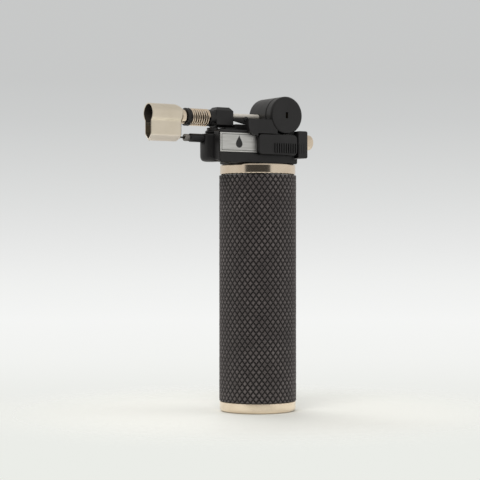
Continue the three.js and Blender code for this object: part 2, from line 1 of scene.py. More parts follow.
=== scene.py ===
import math
import bmesh
import bpy
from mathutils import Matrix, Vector


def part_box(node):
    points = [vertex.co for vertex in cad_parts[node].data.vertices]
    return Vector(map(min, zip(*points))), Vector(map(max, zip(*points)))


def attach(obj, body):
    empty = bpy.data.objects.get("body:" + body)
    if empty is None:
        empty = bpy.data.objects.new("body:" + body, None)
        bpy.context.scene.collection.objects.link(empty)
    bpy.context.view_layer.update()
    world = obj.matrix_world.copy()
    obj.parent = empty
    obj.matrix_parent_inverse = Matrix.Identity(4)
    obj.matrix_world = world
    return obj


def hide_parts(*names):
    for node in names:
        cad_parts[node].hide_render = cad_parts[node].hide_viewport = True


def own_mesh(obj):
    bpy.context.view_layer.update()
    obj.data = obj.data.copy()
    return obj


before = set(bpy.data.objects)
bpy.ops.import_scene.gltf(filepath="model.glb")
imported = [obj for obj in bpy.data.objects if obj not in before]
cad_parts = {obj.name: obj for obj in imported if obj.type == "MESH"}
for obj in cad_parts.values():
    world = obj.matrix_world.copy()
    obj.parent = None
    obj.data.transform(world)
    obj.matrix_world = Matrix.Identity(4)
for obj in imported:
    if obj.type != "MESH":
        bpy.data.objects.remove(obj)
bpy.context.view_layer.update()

mm = 0.001


def boxOf(node):
    low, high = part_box(node)
    return [v / mm for v in low], [v / mm for v in high]


def middleOf(node):
    low, high = boxOf(node)
    return [(a + b) / 2 for a, b in zip(low, high)]


# fields: sums and products of sockets become Math nodes


class Field:
    def __init__(self, tree, socket=None):
        self.tree = tree
        self.socket = socket

    # any node: its type, its settings, then the values or links of its sockets
    def node(self, kind, settings=None, inputs=None, out=0):
        node = self.tree.nodes.new(kind)
        for key, value in (settings or {}).items():
            if key == "stops":
                fillRamp(node.color_ramp, value)
            else:
                setattr(node, key, value)
        for key, value in (inputs or {}).items():
            if isinstance(value, Field):
                self.tree.links.new(value.socket, node.inputs[key])
            else:
                node.inputs[key].default_value = value
        return Field(self.tree, node.outputs[out])

    def output(self, name):
        return Field(self.tree, self.socket.node.outputs[name])

    def maths(self, operation, *values):
        return self.node("ShaderNodeMath", {"operation": operation}, dict(enumerate(values)))

    def __add__(self, other):
        return self.maths("ADD", self, other)

    def __radd__(self, other):
        return self.maths("ADD", other, self)

    def __sub__(self, other):
        return self.maths("SUBTRACT", self, other)

    def __rsub__(self, other):
        return self.maths("SUBTRACT", other, self)

    def __mul__(self, other):
        return self.maths("MULTIPLY", self, other)

    def __rmul__(self, other):
        return self.maths("MULTIPLY", other, self)

    def __truediv__(self, other):
        return self.maths("DIVIDE", self, other)

    def power(self, other):
        return self.maths("POWER", self, other)

    def below(self, other):
        return self.maths("LESS_THAN", self, other)

    def above(self, other):
        return self.maths("GREATER_THAN", self, other)

    # 0 before low, 1 after high, smooth between
    def smooth(self, low, high):
        inputs = {"Value": self, "From Min": low, "From Max": high}
        return self.node("ShaderNodeMapRange", {"interpolation_type": "SMOOTHSTEP"}, inputs)


def fillRamp(ramp, stops):
    while len(ramp.elements) < len(stops):
        ramp.elements.new(1)
    for element, (place, colour) in zip(ramp.elements, stops):
        element.position = place
        element.color = colour


# finishes


def grey(value):
    return (value, value, value, 1)


def colour(red, green, blue):
    return (red, green, blue, 1)


def blendColour(pen, factor, first, second):
    return pen.node("ShaderNodeMix", {"data_type": "RGBA"}, {0: factor, 6: first, 7: second}, 2)


def placeOnPiece(pen):
    return pen.node("ShaderNodeTexCoord", out="Object")


def noise(pen, place, scale, detail=3, roughness=0.5, stretch=(1, 1, 1)):
    if stretch != (1, 1, 1):
        place = pen.node("ShaderNodeMapping", {}, {"Vector": place, "Scale": stretch})
    inputs = {"Vector": place, "Scale": scale, "Detail": detail, "Roughness": roughness}
    return pen.node("ShaderNodeTexNoise", {}, inputs)


def bumpOf(pen, height, strength, distance):
    return pen.node("ShaderNodeBump", {}, {"Height": height, "Strength": strength, "Distance": distance})


# looks: constants set on the shader; varied(pen, place) gives what changes over the surface
def newFinish(name, looks, varied):
    material = bpy.data.materials.new(name)
    material.use_nodes = True
    tree = material.node_tree
    shader = tree.nodes["Principled BSDF"]
    for key, value in looks.items():
        shader.inputs[key].default_value = value
    pen = Field(tree)
    for key, field in varied(pen, placeOnPiece(pen)).items():
        tree.links.new(field.socket, shader.inputs[key])
    return material


# dark is painted shade in the knurl grooves; worn is wear on the crests
gripLook = {
    "crest": 18.0 * mm, "groove": 17.45 * mm,
    "dark": colour(0.009, 0.008, 0.008), "body": colour(0.062, 0.053, 0.052),
    "worn": colour(0.125, 0.110, 0.107),
}


def gripVaried(pen, place):
    parts = pen.node("ShaderNodeSeparateXYZ", {}, {0: place})
    x, y = parts.output("X"), parts.output("Y")
    radius = (x * x + y * y).power(0.5)
    height = radius.smooth(gripLook["groove"], gripLook["crest"])
    blotch = noise(pen, place, 140, 4, 0.6)
    fine = noise(pen, place, 2600, 2)
    wear = height.smooth(0.8, 1.0) * blotch.smooth(0.3, 0.75)
    # painted shade: the grooves go towards the dark colour, the crests keep the body colour
    paintedGrooveShade = blendColour(pen, height.smooth(0.0, 0.5), gripLook["dark"], gripLook["body"])
    return {
        "Base Color": blendColour(pen, wear, paintedGrooveShade, gripLook["worn"]),
        "Roughness": 0.62 - 0.2 * height + 0.16 * (blotch - 0.5),
        "Normal": bumpOf(pen, fine, 0.25, 0.05 * mm),
    }


plasticLook = {
    "body": colour(0.0055, 0.0052, 0.0055), "pale": colour(0.0105, 0.010, 0.0102), "roughness": 0.40,
}


def plasticVaried(pen, place):
    cloud = noise(pen, place, 90, 4, 0.6)
    grain = noise(pen, place, 5200, 2, 0.6)
    flow = noise(pen, place, 300, 3, 0.5, (1, 1, 0.35))
    return {
        "Base Color": blendColour(pen, cloud.smooth(0.3, 0.8), plasticLook["body"], plasticLook["pale"]),
        "Roughness": plasticLook["roughness"] + 0.18 * (flow - 0.5) + 0.1 * (cloud - 0.5),
        "Normal": bumpOf(pen, grain, 0.16, 0.04 * mm),
    }


def nickelVaried(body, stain, roughness, spin, uneven=1.0):
    # spin: how strongly the finish is drawn out along X, as on brushed sheet; 1 is none
    def varied(pen, place):
        smear = noise(pen, place, 120, 4, 0.65)
        scratch = noise(pen, place, 1500, 3, 0.7, (1 / spin, 1, 1))
        return {
            "Base Color": blendColour(pen, smear.smooth(0.35, 0.85), body, stain),
            "Roughness": roughness + 0.14 * uneven * (smear - 0.5) + 0.08 * uneven * (scratch - 0.5),
            "Normal": bumpOf(pen, scratch, 0.12 * uneven, 0.02 * mm),
        }
    return varied


def metalVaried(body, stain, roughness):
    def varied(pen, place):
        smear = noise(pen, place, 260, 4, 0.6)
        turnedMarks = noise(pen, place, 1900, 2, 0.5, (1, 1, 3))
        return {
            "Base Color": blendColour(pen, smear.smooth(0.4, 0.8), body, stain),
            "Roughness": roughness + 0.2 * (smear - 0.5),
            "Normal": bumpOf(pen, turnedMarks, 0.1, 0.02 * mm),
        }
    return varied


def softVaried(body, shade, roughness, scale, depth):
    def varied(pen, place):
        cloud = noise(pen, place, scale, 4, 0.6)
        return {
            "Base Color": blendColour(pen, cloud.smooth(0.3, 0.75), body, shade),
            "Roughness": roughness + 0.15 * (cloud - 0.5),
            "Normal": bumpOf(pen, noise(pen, place, scale * 12, 2), 0.2, depth * mm),
        }
    return varied


# foil: thin border line and a plain flame drop on brushed silver
foilLook = {
    "silver": colour(0.62, 0.62, 0.60), "shade": colour(0.50, 0.50, 0.48), "ink": colour(0.012, 0.012, 0.012),
    "borderInset": 0.75, "borderWidth": 0.16,
    "flameX": -16.2, "flameZ": 123.6, "flameRadius": 1.75, "flameTall": 2.6,
}


def foilVaried(pen, place):
    low, high = boxOf("label_plate")
    parts = pen.node("ShaderNodeSeparateXYZ", {}, {0: place})
    x, z = parts.output("X") / mm, parts.output("Z") / mm
    middleX, middleZ = (low[0] + high[0]) / 2, (low[2] + high[2]) / 2
    halfX, halfZ = (high[0] - low[0]) / 2, (high[2] - low[2]) / 2
    reachX = (x - middleX).maths("ABSOLUTE", x - middleX) - halfX
    reachZ = (z - middleZ).maths("ABSOLUTE", z - middleZ) - halfZ
    edge = reachX.maths("MAXIMUM", reachX, reachZ) + foilLook["borderInset"]
    border = 1 - edge.maths("ABSOLUTE", edge).smooth(foilLook["borderWidth"] / 2, foilLook["borderWidth"])
    # a drop: a disc below, drawn to a point above
    dx = x - foilLook["flameX"]
    dz = z - foilLook["flameZ"]
    rise = dz.smooth(0, foilLook["flameTall"] + foilLook["flameRadius"])
    wide = foilLook["flameRadius"] * (1 - rise)
    across = dx.maths("ABSOLUTE", dx)
    upper = across.below(wide) * dz.above(0)
    lower = (dx * dx + dz * dz).power(0.5).below(foilLook["flameRadius"]) * dz.below(0.001)
    flame = upper + lower
    ink = border.maths("MAXIMUM", border, flame)
    brushed = noise(pen, place, 900, 3, 0.6, (0.08, 1, 1))
    silver = blendColour(pen, brushed.smooth(0.3, 0.7), foilLook["silver"], foilLook["shade"])
    return {
        "Base Color": blendColour(pen, ink, silver, foilLook["ink"]),
        "Metallic": 0.55 * (1 - ink),
        "Roughness": 0.42 + 0.16 * (brushed - 0.5),
        "Normal": bumpOf(pen, brushed, 0.08, 0.02 * mm),
    }


# inside of the guard: painted shade above the waist and a darker painted shade line along the bend, then
# plain nickel in the channel
insideLook = {
    "paintedShade": colour(0.05, 0.043, 0.036), "nickelColour": colour(0.74, 0.66, 0.54), "paintedShadeFrom": 132.6,
    "creaseShadeLow": 131.5, "creaseShadeHigh": 131.95, "roughness": 0.4,
}


def insideVaried(pen, place):
    z = pen.node("ShaderNodeSeparateXYZ", {}, {0: place}).output("Z") / mm
    cloud = noise(pen, place, 220, 4, 0.6)
    # painted shade on the inside above the waist
    above = (z + 0.3 * (cloud - 0.5)).smooth(insideLook["paintedShadeFrom"] - 0.15, insideLook["paintedShadeFrom"] + 0.15)
    # painted shade along the bend line
    line = z.above(insideLook["creaseShadeLow"]) * z.below(insideLook["creaseShadeHigh"])
    # both painted shades together, which also make the metal less metallic
    dark = above.maths("MAXIMUM", above, 0.8 * line)
    return {
        "Base Color": blendColour(pen, dark, insideLook["nickelColour"], insideLook["paintedShade"]),
        "Metallic": 1 - 0.7 * dark,
        "Roughness": insideLook["roughness"] + 0.2 * (cloud - 0.5),
    }


# outside of the guard: brushed nickel, with a painted reflection on the V below the channel, lighter and less
# metallic in place of the bright floor that it mirrors
sheetLook = {
    "body": colour(0.92, 0.83, 0.68), "stain": colour(0.84, 0.75, 0.60), "paintedSheen": colour(0.97, 0.88, 0.76),
    "paintedSheenTop": 127.3, "paintedSheenBottom": 126.5, "roughness": 0.3, "spin": 14, "uneven": 0.35,
}


def sheetVaried(pen, place):
    z = pen.node("ShaderNodeSeparateXYZ", {}, {0: place}).output("Z") / mm
    # painted reflection of the bright floor on the V below the channel
    paintedSheen = 1 - z.smooth(sheetLook["paintedSheenBottom"], sheetLook["paintedSheenTop"])
    plain = [sheetLook[key] for key in ("body", "stain", "roughness", "spin", "uneven")]
    brushed = nickelVaried(*plain)(pen, place)
    brushed["Base Color"] = blendColour(pen, paintedSheen, brushed["Base Color"], sheetLook["paintedSheen"])
    brushed["Metallic"] = 1 - 0.85 * paintedSheen
    return brushed


nickelBody = colour(0.91, 0.78, 0.62)
nickelStain = colour(0.81, 0.67, 0.51)
steelStain = colour(0.5, 0.48, 0.45)
sootyBody = colour(0.20, 0.19, 0.175)
sootyShade = colour(0.13, 0.12, 0.11)

finishes = {
    "knurled_grip": newFinish("knurledGrip", {"Specular IOR Level": 0.45}, gripVaried),
    "moulded_black": newFinish("mouldedBlack", {"Specular IOR Level": 0.5}, plasticVaried),
    "polished_nickel": newFinish("polishedNickel", {"Metallic": 1}, nickelVaried(
        nickelBody, nickelStain, 0.16, 1)),
    "dull_nickel": newFinish("dullNickel", {"Metallic": 0.35}, nickelVaried(
        colour(0.66, 0.63, 0.57), colour(0.55, 0.52, 0.46), 0.42, 1)),
    "satin_nickel": newFinish("satinNickel", {}, sheetVaried),
    "tank_aluminium": newFinish("tankAluminium", {"Metallic": 1}, metalVaried(grey(0.72), grey(0.6), 0.35)),
    "brass": newFinish("turnedBrass", {"Metallic": 1}, metalVaried(
        colour(0.78, 0.57, 0.25), colour(0.62, 0.43, 0.18), 0.28)),
    "spring_steel": newFinish("springSteel", {"Metallic": 1}, metalVaried(grey(0.66), steelStain, 0.28)),
    "label_foil": newFinish("labelFoil", {}, foilVaried),
    "darkened_steel": newFinish("darkenedSteel", {"Metallic": 0.9}, metalVaried(
        colour(0.035, 0.031, 0.028), colour(0.06, 0.052, 0.045), 0.42)),
    "guard_inside": newFinish("guardInside", {}, insideVaried),
    "ceramic": newFinish("ceramic", {}, softVaried(sootyBody, sootyShade, 0.5, 400, 0.03)),
    "seal_rubber": newFinish("sealRubber", {}, softVaried(grey(0.012), grey(0.025), 0.75, 500, 0.04)),
    "clear_plastic": newFinish("milkyPlastic", {}, softVaried(grey(0.62), grey(0.52), 0.4, 300, 0.02)),
    "lead_cover": newFinish("leadCover", {}, softVaried(
        colour(0.25, 0.012, 0.01), colour(0.18, 0.01, 0.008), 0.45, 500, 0.03)),
}
print("finishes made", len(finishes))


# mesh tools; shapes are given in millimetres and stored in metres


def newPiece(name, corners, faces):
    mesh = bpy.data.meshes.new(name)
    mesh.from_pydata([[v * mm for v in corner] for corner in corners], [], faces)
    piece = bpy.data.objects.new(name, mesh)
    bpy.context.scene.collection.objects.link(piece)
    return piece


def tidyFaces(piece, merge=1e-7):
    work = bmesh.new()
    work.from_mesh(piece.data)
    bmesh.ops.remove_doubles(work, verts=work.verts, dist=merge)
    bmesh.ops.recalc_face_normals(work, faces=work.faces)
    work.to_mesh(piece.data)
    work.free()


def makePlain(piece):
    bpy.context.view_layer.update()
    graph = bpy.context.evaluated_depsgraph_get()
    final = piece.evaluated_get(graph)
    mesh = bpy.data.meshes.new_from_object(final, preserve_all_data_layers=True, depsgraph=graph)
    piece.modifiers.clear()
    piece.data = mesh
    return piece


def smoothed(piece, angle=35):
    piece.data.shade_smooth()
    piece.data.set_sharp_from_angle(angle=math.radians(angle))
    weighted = piece.modifiers.new("weighted", "WEIGHTED_NORMAL")
    weighted.keep_sharp = True
    weighted.weight = 100
    return makePlain(piece)


# rounds the corners of a line of points; closed joins the last to the first
def softened(points, radius, closed=False, steps=3):
    out = []
    count = len(points)
    for i, point in enumerate(points):
        here = Vector(point)
        if not closed and i in (0, count - 1):
            out.append(here)
            continue
        before = Vector(points[i - 1]) - here
        after = Vector(points[(i + 1) % count]) - here
        bend = math.pi - before.angle(after)
        if bend < 0.1:
            out.append(here)
            continue
        reach = min(radius, before.length * 0.45, after.length * 0.45)
        start = here + before.normalized() * reach
        end = here + after.normalized() * reach
        for step in range(steps + 1):
            t = step / steps
            out.append(start * (1 - t) ** 2 + here * 2 * t * (1 - t) + end * t ** 2)
    return [tuple(p) for p in out]


# a turned piece from (radius, distance along the axis) points; one that never meets the axis is a closed ring
def turned(name, profile, axis, centre=(0, 0, 0), edge=0.15, segments=96, angle=35):
    closed = profile[0][0] > 0 and profile[-1][0] > 0
    points = softened(profile, edge, closed)
    corners, rings = [], []
    for radius, along in points:
        if radius < 1e-6:
            rings.append([len(corners)] * segments)
            corners.append(onAxis(axis, centre, 0, 0, along))
            continue
        start = len(corners)
        for i in range(segments):
            turn = 2 * math.pi * i / segments
            corners.append(onAxis(axis, centre, radius * math.cos(turn), radius * math.sin(turn), along))
        rings.append(list(range(start, start + segments)))
    pairs = list(zip(rings, rings[1:]))
    if closed:
        pairs.append((rings[-1], rings[0]))
    faces = []
    for low, high in pairs:
        for i in range(segments):
            j = (i + 1) % segments
            face = list(dict.fromkeys([low[i], low[j], high[j], high[i]]))
            if len(face) > 2:
                faces.append(face)
    piece = newPiece(name, corners, faces)
    tidyFaces(piece)
    return smoothed(piece, angle)


def onAxis(axis, centre, u, v, along):
    x, y, z = centre
    if axis == "X":
        return (along, y + u, z + v)
    if axis == "Y":
        return (x + u, along, z + v)
    return (x + u, y + v, along)


def disc(radius, start, end):
    return [(0, start), (radius, start), (radius, end), (0, end)]


def pipe(inner, outer, start, end):
    return [(inner, start), (outer, start), (outer, end), (inner, end)]


# an outline drawn on the two other axes and pushed along the named one
def prism(name, outline, axis, start, end, corner=0.0, edge=0.0, segments=3):
    points = softened(outline, corner, True, 6) if corner else outline
    places = {
        "X": lambda u, v, w: (w, u, v),
        "Y": lambda u, v, w: (u, w, v),
        "Z": lambda u, v, w: (u, v, w),
    }
    place = places[axis]
    count = len(points)
    corners = [place(u, v, start) for u, v in points] + [place(u, v, end) for u, v in points]
    faces = [list(range(count)), list(range(count, 2 * count))]
    for i in range(count):
        j = (i + 1) % count
        faces.append([i, j, count + j, count + i])
    piece = newPiece(name, corners, faces)
    tidyFaces(piece)
    return bevelled(piece, edge, segments) if edge else piece


def bevelled(piece, width, segments=3, angle=30):
    bevel = piece.modifiers.new("edge", "BEVEL")
    bevel.width = width * mm
    bevel.segments = segments
    bevel.limit_method = "ANGLE"
    bevel.angle_limit = math.radians(angle)
    bevel.miter_outer = "MITER_ARC"
    return makePlain(piece)


def block(name, low, high, edge=0.0):
    outline = sideOf(low, high)
    return prism(name, outline, "Y", low[1], high[1], 0, edge)


def carved(piece, cutters, operation="DIFFERENCE"):
    for cutter in cutters:
        step = piece.modifiers.new("carve", "BOOLEAN")
        step.operation = operation
        step.solver = "EXACT"
        step.object = cutter
    makePlain(piece)
    for cutter in cutters:
        bpy.data.objects.remove(cutter)
    return piece


def cutRod(axis, centre, radius, start, end, segments=64):
    return turned("cutter", disc(radius, start, end), axis, centre, 0, segments)


# the last step for every piece: its finish, the body that it moves with and the nodes that it stands for
def finished(piece, finish, body, *nodes, keepSlots=False, slot=None):
    if not keepSlots:
        piece.data.materials.clear()
        piece.data.materials.append(finishes[finish])
    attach(piece, body)
    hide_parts(*nodes)
    return piece


# Geometry Nodes tools


def newTree(name, numbers):
    tree = bpy.data.node_groups.new(name, "GeometryNodeTree")
    tree.interface.new_socket("Geometry", in_out="INPUT", socket_type="NodeSocketGeometry")
    for label, value in numbers.items():
        kind = "NodeSocketInt" if isinstance(value, int) else "NodeSocketFloat"
        if label == "Finish":
            kind = "NodeSocketMaterial"
        socket = tree.interface.new_socket(label, in_out="INPUT", socket_type=kind)
        socket.default_value = value
    tree.interface.new_socket("Geometry", in_out="OUTPUT", socket_type="NodeSocketGeometry")
    inputs = Field(tree).node("NodeGroupInput")
    return tree, inputs


def endTree(inputs, shape, smooth=True):
    shaded = inputs.node("GeometryNodeSetShadeSmooth", {}, {"Geometry": shape, "Shade Smooth": smooth})
    real = inputs.node("GeometryNodeRealizeInstances", {}, {"Geometry": shaded})
    finish = inputs.output("Finish")
    painted = inputs.node("GeometryNodeSetMaterial", {}, {"Geometry": real, "Material": finish})
    joinOutput(inputs, painted)


def joinOutput(inputs, painted):
    node = inputs.tree.nodes.new("NodeGroupOutput")
    inputs.tree.links.new(painted.socket, node.inputs[0])


def joined(pen, *parts):
    node = pen.tree.nodes.new("GeometryNodeJoinGeometry")
    for part in parts:
        pen.tree.links.new(part.socket, node.inputs[0])
    return Field(pen.tree, node.outputs[0])


def vectorOf(pen, x=0.0, y=0.0, z=0.0):
    return pen.node("ShaderNodeCombineXYZ", {}, {0: x, 1: y, 2: z})


def sideOf(low, high):
    return [(low[0], low[2]), (high[0], low[2]), (high[0], high[2]), (low[0], high[2])]


def shifted(pen, shape, x, y, z):
    return pen.node("GeometryNodeTransform", {}, {"Geometry": shape, "Translation": vectorOf(pen, x, y, z)})


def grown(piece, tree, numbers):
    step = piece.modifiers.new("grow", "NODES")
    step.node_group = tree
    for item in tree.interface.items_tree:
        if item.item_type == "SOCKET" and item.in_out == "INPUT" and item.name in numbers:
            step[item.identifier] = numbers[item.name]
    return makePlain(piece)


# grip sleeve: diamond knurl on a tube

gripKnurl = {"Around": 42, "Rows": 60, "Row Pitch": 1.765 * mm, "Depth": 0.62 * mm, "Flat": 0.42, "Seed": 7}


def knurlTree():
    numbers = {
        "Around": 42, "Rows": 60, "Row Pitch": 0.0018, "Depth": 0.0006, "Flat": 0.3, "Seed": 1,
        "Radius": 0.018, "Bottom": 0.0, "Top": 0.1, "Finish": finishes["knurled_grip"],
    }
    tree, i = newTree("gripKnurl", numbers)
    around, pitch, radius, depth = (i.output(n) for n in ("Around", "Row Pitch", "Radius", "Depth"))
    index = i.node("GeometryNodeInputIndex")
    column = index.maths("MODULO", index, around)
    row = (index / around).maths("FLOOR", index / around)
    odd = row.maths("MODULO", row, 2)
    turn = (column + 0.5 * odd) * (2 * math.pi) / around
    root = radius - depth
    place = vectorOf(i, root * turn.maths("COSINE", turn), root * turn.maths("SINE", turn),
                     i.output("Bottom") + row * pitch)
    points = i.node("GeometryNodePoints", {}, {"Count": around * i.output("Rows"), "Position": place})
    facing = i.node("FunctionNodeEulerToRotation", {}, {0: vectorOf(i, 0, math.pi / 2, turn)})
    lowest, highest = 2, 3  # sockets of the random number
    tall = i.node("FunctionNodeRandomValue", {"data_type": "FLOAT"}, {
        lowest: 0.9, highest: 1.0, "Seed": i.output("Seed")}, 1)
    size = vectorOf(i, pitch, radius * math.pi / around, depth * tall)
    diamond = i.node("GeometryNodeMeshCone", {"fill_type": "NGON"}, {
        "Vertices": 4, "Radius Top": i.output("Flat"), "Radius Bottom": 1.02, "Depth": 1.0})
    knobs = i.node("GeometryNodeInstanceOnPoints", {}, {
        "Points": points, "Instance": diamond, "Rotation": facing, "Scale": size})
    real = i.node("GeometryNodeRealizeInstances", {}, {"Geometry": knobs})
    flat = i.node("GeometryNodeSetShadeSmooth", {}, {"Geometry": real, "Shade Smooth": False})
    here = i.node("GeometryNodeInputPosition")
    parts = i.node("ShaderNodeSeparateXYZ", {}, {0: here})
    level = parts.output("Z")
    kept = level.maths("MAXIMUM", level.maths("MINIMUM", level, i.output("Top")), i.output("Bottom"))
    trimmed = i.node("GeometryNodeSetPosition", {}, {
        "Geometry": flat, "Position": vectorOf(i, parts.output("X"), parts.output("Y"), kept)})
    both = joined(i, i.output("Geometry"), trimmed)
    painted = i.node("GeometryNodeSetMaterial", {}, {"Geometry": both, "Material": i.output("Finish")})
    joinOutput(i, painted)
    return tree


def makeGrip():
    low, high = boxOf("grip_sleeve")
    core = high[0] - gripKnurl["Depth"] / mm + 0.04
    bore = boxOf("neck_ring")[1][0] - 1.4
    tube = turned("gripSleeve", pipe(bore, core, low[2], high[2]), "Z", edge=0.1, segments=126)
    numbers = dict(gripKnurl)
    numbers.update({"Radius": high[0] * mm, "Bottom": low[2] * mm, "Top": high[2] * mm})
    numbers["Finish"] = finishes["knurled_grip"]
    piece = grown(tube, knurlTree(), numbers)
    finished(piece, "knurled_grip", "torch", "grip_sleeve")
    print("grip", len(piece.data.polygons), "faces")


# turned pieces of the tank

tankTrim = {
    "floor": 3.2, "floorTop": 4.8, "floorRim": 14.6, "footInner": 15.4, "footOuter": 16.6, "port": 3.4,
    "spigotTop": 9, "spigotWall": 1.2, "ringWall": 1.4, "ringChamfer": 0.5, "edge": 0.35,
}


def makeTankTrim():
    radius = boxOf("base_cap")[1][0]
    spigot = boxOf("tank_shell")[1][0] - 1.3
    lip = boxOf("grip_sleeve")[0][2] - 0.3
    floor, floorTop, port, edge = (tankTrim[key] for key in ("floor", "floorTop", "port", "edge"))
    inner, outer, spigotTop = (tankTrim[key] for key in ("footInner", "footOuter", "spigotTop"))
    spigotBore = spigot - tankTrim["spigotWall"]
    cap = turned("baseCap", [
        (port, floor), (tankTrim["floorRim"], floor), (inner, 0.6), (inner, 0), (outer, 0),
        (radius - 0.35, 0.5), (radius, 1.4), (radius, lip), (spigot, lip), (spigot, spigotTop),
        (spigotBore, spigotTop), (spigotBore, floorTop), (port, floorTop),
    ], "Z", edge=edge, segments=128)
    finished(cap, "polished_nickel", "torch", "base_cap")
    low, high = boxOf("neck_ring")
    chamfer = tankTrim["ringChamfer"]
    bore = high[0] - tankTrim["ringWall"]
    ring = turned("neckRing", [
        (bore, low[2]), (high[0] - chamfer, low[2]), (high[0], low[2] + chamfer),
        (high[0], high[2] - chamfer), (high[0] - chamfer, high[2]), (bore, high[2]),
    ], "Z", edge=edge, segments=128)
    finished(ring, "polished_nickel", "torch", "neck_ring")
    low = boxOf("fill_valve_body")[0]
    valve = turned("fillValveBody", [
        (1.4, low[2]), (4.2, low[2]), (4.6, low[2] + 0.4), (4.6, 2.9), (3.1, 2.9), (3.1, 14), (1, 14),
        (1, 12.8), (2.4, 12.8), (2.4, 3.6), (1.4, 3.6),
    ], "Z", edge=0.15, segments=48)
    finished(valve, "brass", "torch", "fill_valve_body")
    print("tank trim made")


# head shell in two halves, label plate and screws

headShape = {"corner": 1.0, "edge": 0.45, "drumGap": 0.3, "split": 0.15, "wall": 1.6, "pocketGap": 0.3,
             "floor": 117.7, "roof": 127.2, "hollowFront": -19, "hollowRear": 14.1,
             "recessNear": -8.4, "recessRear": -14.5, "recessTop": 116.3,
             "outlet": 7, "riser": 1.4, "riserFoot": 126,
             "capFront": 14.0, "capFar": -1.2, "capBottom": 117.5, "screwHole": 2.3}


def makeHead():
    near, nearHigh = boxOf("head_near_half")
    far = boxOf("head_far_half")
    front, bottom, top = near[0], near[2], nearHigh[2]
    rear, half = far[1][0], far[1][1]
    look = headShape
    drumX, _, drumZ = middleOf("valve_housing")
    drumRadius = (boxOf("valve_housing")[1][2] - boxOf("valve_housing")[0][2]) / 2
    column = boxOf("front_column")
    columnX = (column[0][0] + column[1][0]) / 2
    for name, node, start, end in (
            ("headNearHalf", "head_near_half", -half, -look["split"]),
            ("headFarHalf", "head_far_half", look["split"], half)):
        face = front if start < 0 else far[0][0]
        outline = [(face, bottom), (rear, bottom), (rear, top), (face, top)]
        shell = prism(name, outline, "Y", start, end, look["corner"], look["edge"], 3)
        inside = -half + look["wall"] if start < 0 else start - 1
        outside = end + 1 if start < 0 else half - look["wall"]
        cutters = [
            cutRod("Y", (drumX, 0, drumZ), drumRadius + look["drumGap"], -20, 20, 96),
            cutRod("Z", (columnX, 0, 0), column[1][1] + 0.3, bottom - 1, top + 1, 96),
            block("cutter", (look["hollowFront"], inside, look["floor"]),
                  (look["hollowRear"], outside, look["roof"])),
            cutRod("Z", (0, 0, 0), look["outlet"], bottom - 1, look["floor"] + 1),
            block("cutter", (front - 1, look["recessNear"], bottom - 1),
                  (look["recessRear"], half + 1, look["recessTop"])),
            cutRod("Z", (drumX, 0, 0), look["riser"], look["riserFoot"], top),
            block("cutter", (look["capFront"], -half - 1, look["capBottom"]),
                  (rear + 1, look["capFar"], top + 1)),
        ]
        if start < 0:
            low, high = boxOf("label_plate")
            gap = look["pocketGap"]
            cutters.append(block("cutter", (front - 1, -half - 1, low[2] - gap),
                                 (high[0] + gap, high[1] + gap, high[2] + gap)))
            cutters.append(block("cutter", (-6.5, -half - 1, 122.5), (14.3, -4.8, 128.2)))
        else:
            for i in (1, 2, 3):
                x, _, z = middleOf(f"housing_screw_{i}")
                cutters.append(cutRod("Y", (x, 0, z), look["screwHole"], half - 1, half + 1, 48))
        piece = smoothed(carved(shell, cutters))
        finished(piece, "moulded_black", "torch", node)
    low, high = boxOf("label_plate")
    plate = smoothed(block("labelPlate", low, high, 0.12))
    finished(plate, "label_foil", "torch", "label_plate")
    print("head made")


screwShape = {
    "Head": 2.0 * mm, "Head Depth": 0.7 * mm, "Shank": 1.0 * mm, "Length": 15 * mm, "Slot": 0.5 * mm,
}
screwCross = {"long": 1.35, "deep": 1.2, "taper": 0.88}  # shares of the head's radius and depth


def screwTree():
    tree, i = newTree("housingScrews", {**screwShape, "Finish": finishes["spring_steel"]})
    head, depth, shank, length, slot = (i.output(n) for n in screwShape)
    crown = i.node("GeometryNodeMeshCone", {}, {
        "Vertices": 32, "Radius Bottom": head, "Radius Top": head * screwCross["taper"], "Depth": depth})
    rod = i.node("GeometryNodeMeshCylinder", {}, {"Vertices": 24, "Radius": shank, "Depth": length})
    crownUp = shifted(i, crown, 0, 0, depth * -1.0)
    rodUp = shifted(i, rod, 0, 0, length * -0.5 - 0.8 * depth)
    armLong, armDeep = head * screwCross["long"], depth * screwCross["deep"]
    headCut = crownUp
    for size in (vectorOf(i, armLong, slot, armDeep), vectorOf(i, slot, armLong, armDeep)):
        arm = i.node("GeometryNodeMeshCube", {}, {"Size": size})
        headCut = i.node("GeometryNodeMeshBoolean", {"operation": "DIFFERENCE"}, {
            "Mesh 1": headCut, "Mesh 2": arm})
    whole = joined(i, headCut, rodUp)
    facing = i.node("FunctionNodeEulerToRotation", {}, {0: (-math.pi / 2, 0.0, 0.0)})
    screws = i.node("GeometryNodeInstanceOnPoints", {}, {
        "Points": i.output("Geometry"), "Instance": whole, "Rotation": facing})
    endTree(i, screws, False)
    return tree


def makeScrews():
    top = boxOf("housing_screw_1")[1][1]
    names = [f"housing_screw_{i}" for i in (1, 2, 3)]
    places = []
    for name in names:
        x, _, z = middleOf(name)
        places.append((x, top, z))
    piece = newPiece("housingScrews", places, [])
    grown(piece, screwTree(), {"Finish": finishes["spring_steel"]})
    finished(piece, "spring_steel", "torch", *names, keepSlots=True)
    print("screws made")


# springs: one wire wound on a line, with its end coils closed

springTurns = {"air_spring": 8.5, "fill_valve_spring": 7, "button_spring": 4, "hammer_spring": 5}
springWire = {"air_spring": 0.35, "fill_valve_spring": 0.22, "button_spring": 0.17, "hammer_spring": 0.15}

# springs meant to shorten with a joint: which joint, along which axis, towards which end in mm, and what is
# left of the length; this script only gives them a mesh of their own
springPress = {
    "button_spring": {"joint": "igniter_press", "axis": (1, 0, 0), "end": (8.3, -7.6, 125.5), "keep": 0.07},
    "fill_valve_spring": {"joint": "fill_stem_press", "axis": (0, 0, 1), "end": (0, 0, 12.5), "keep": 0.77},
}


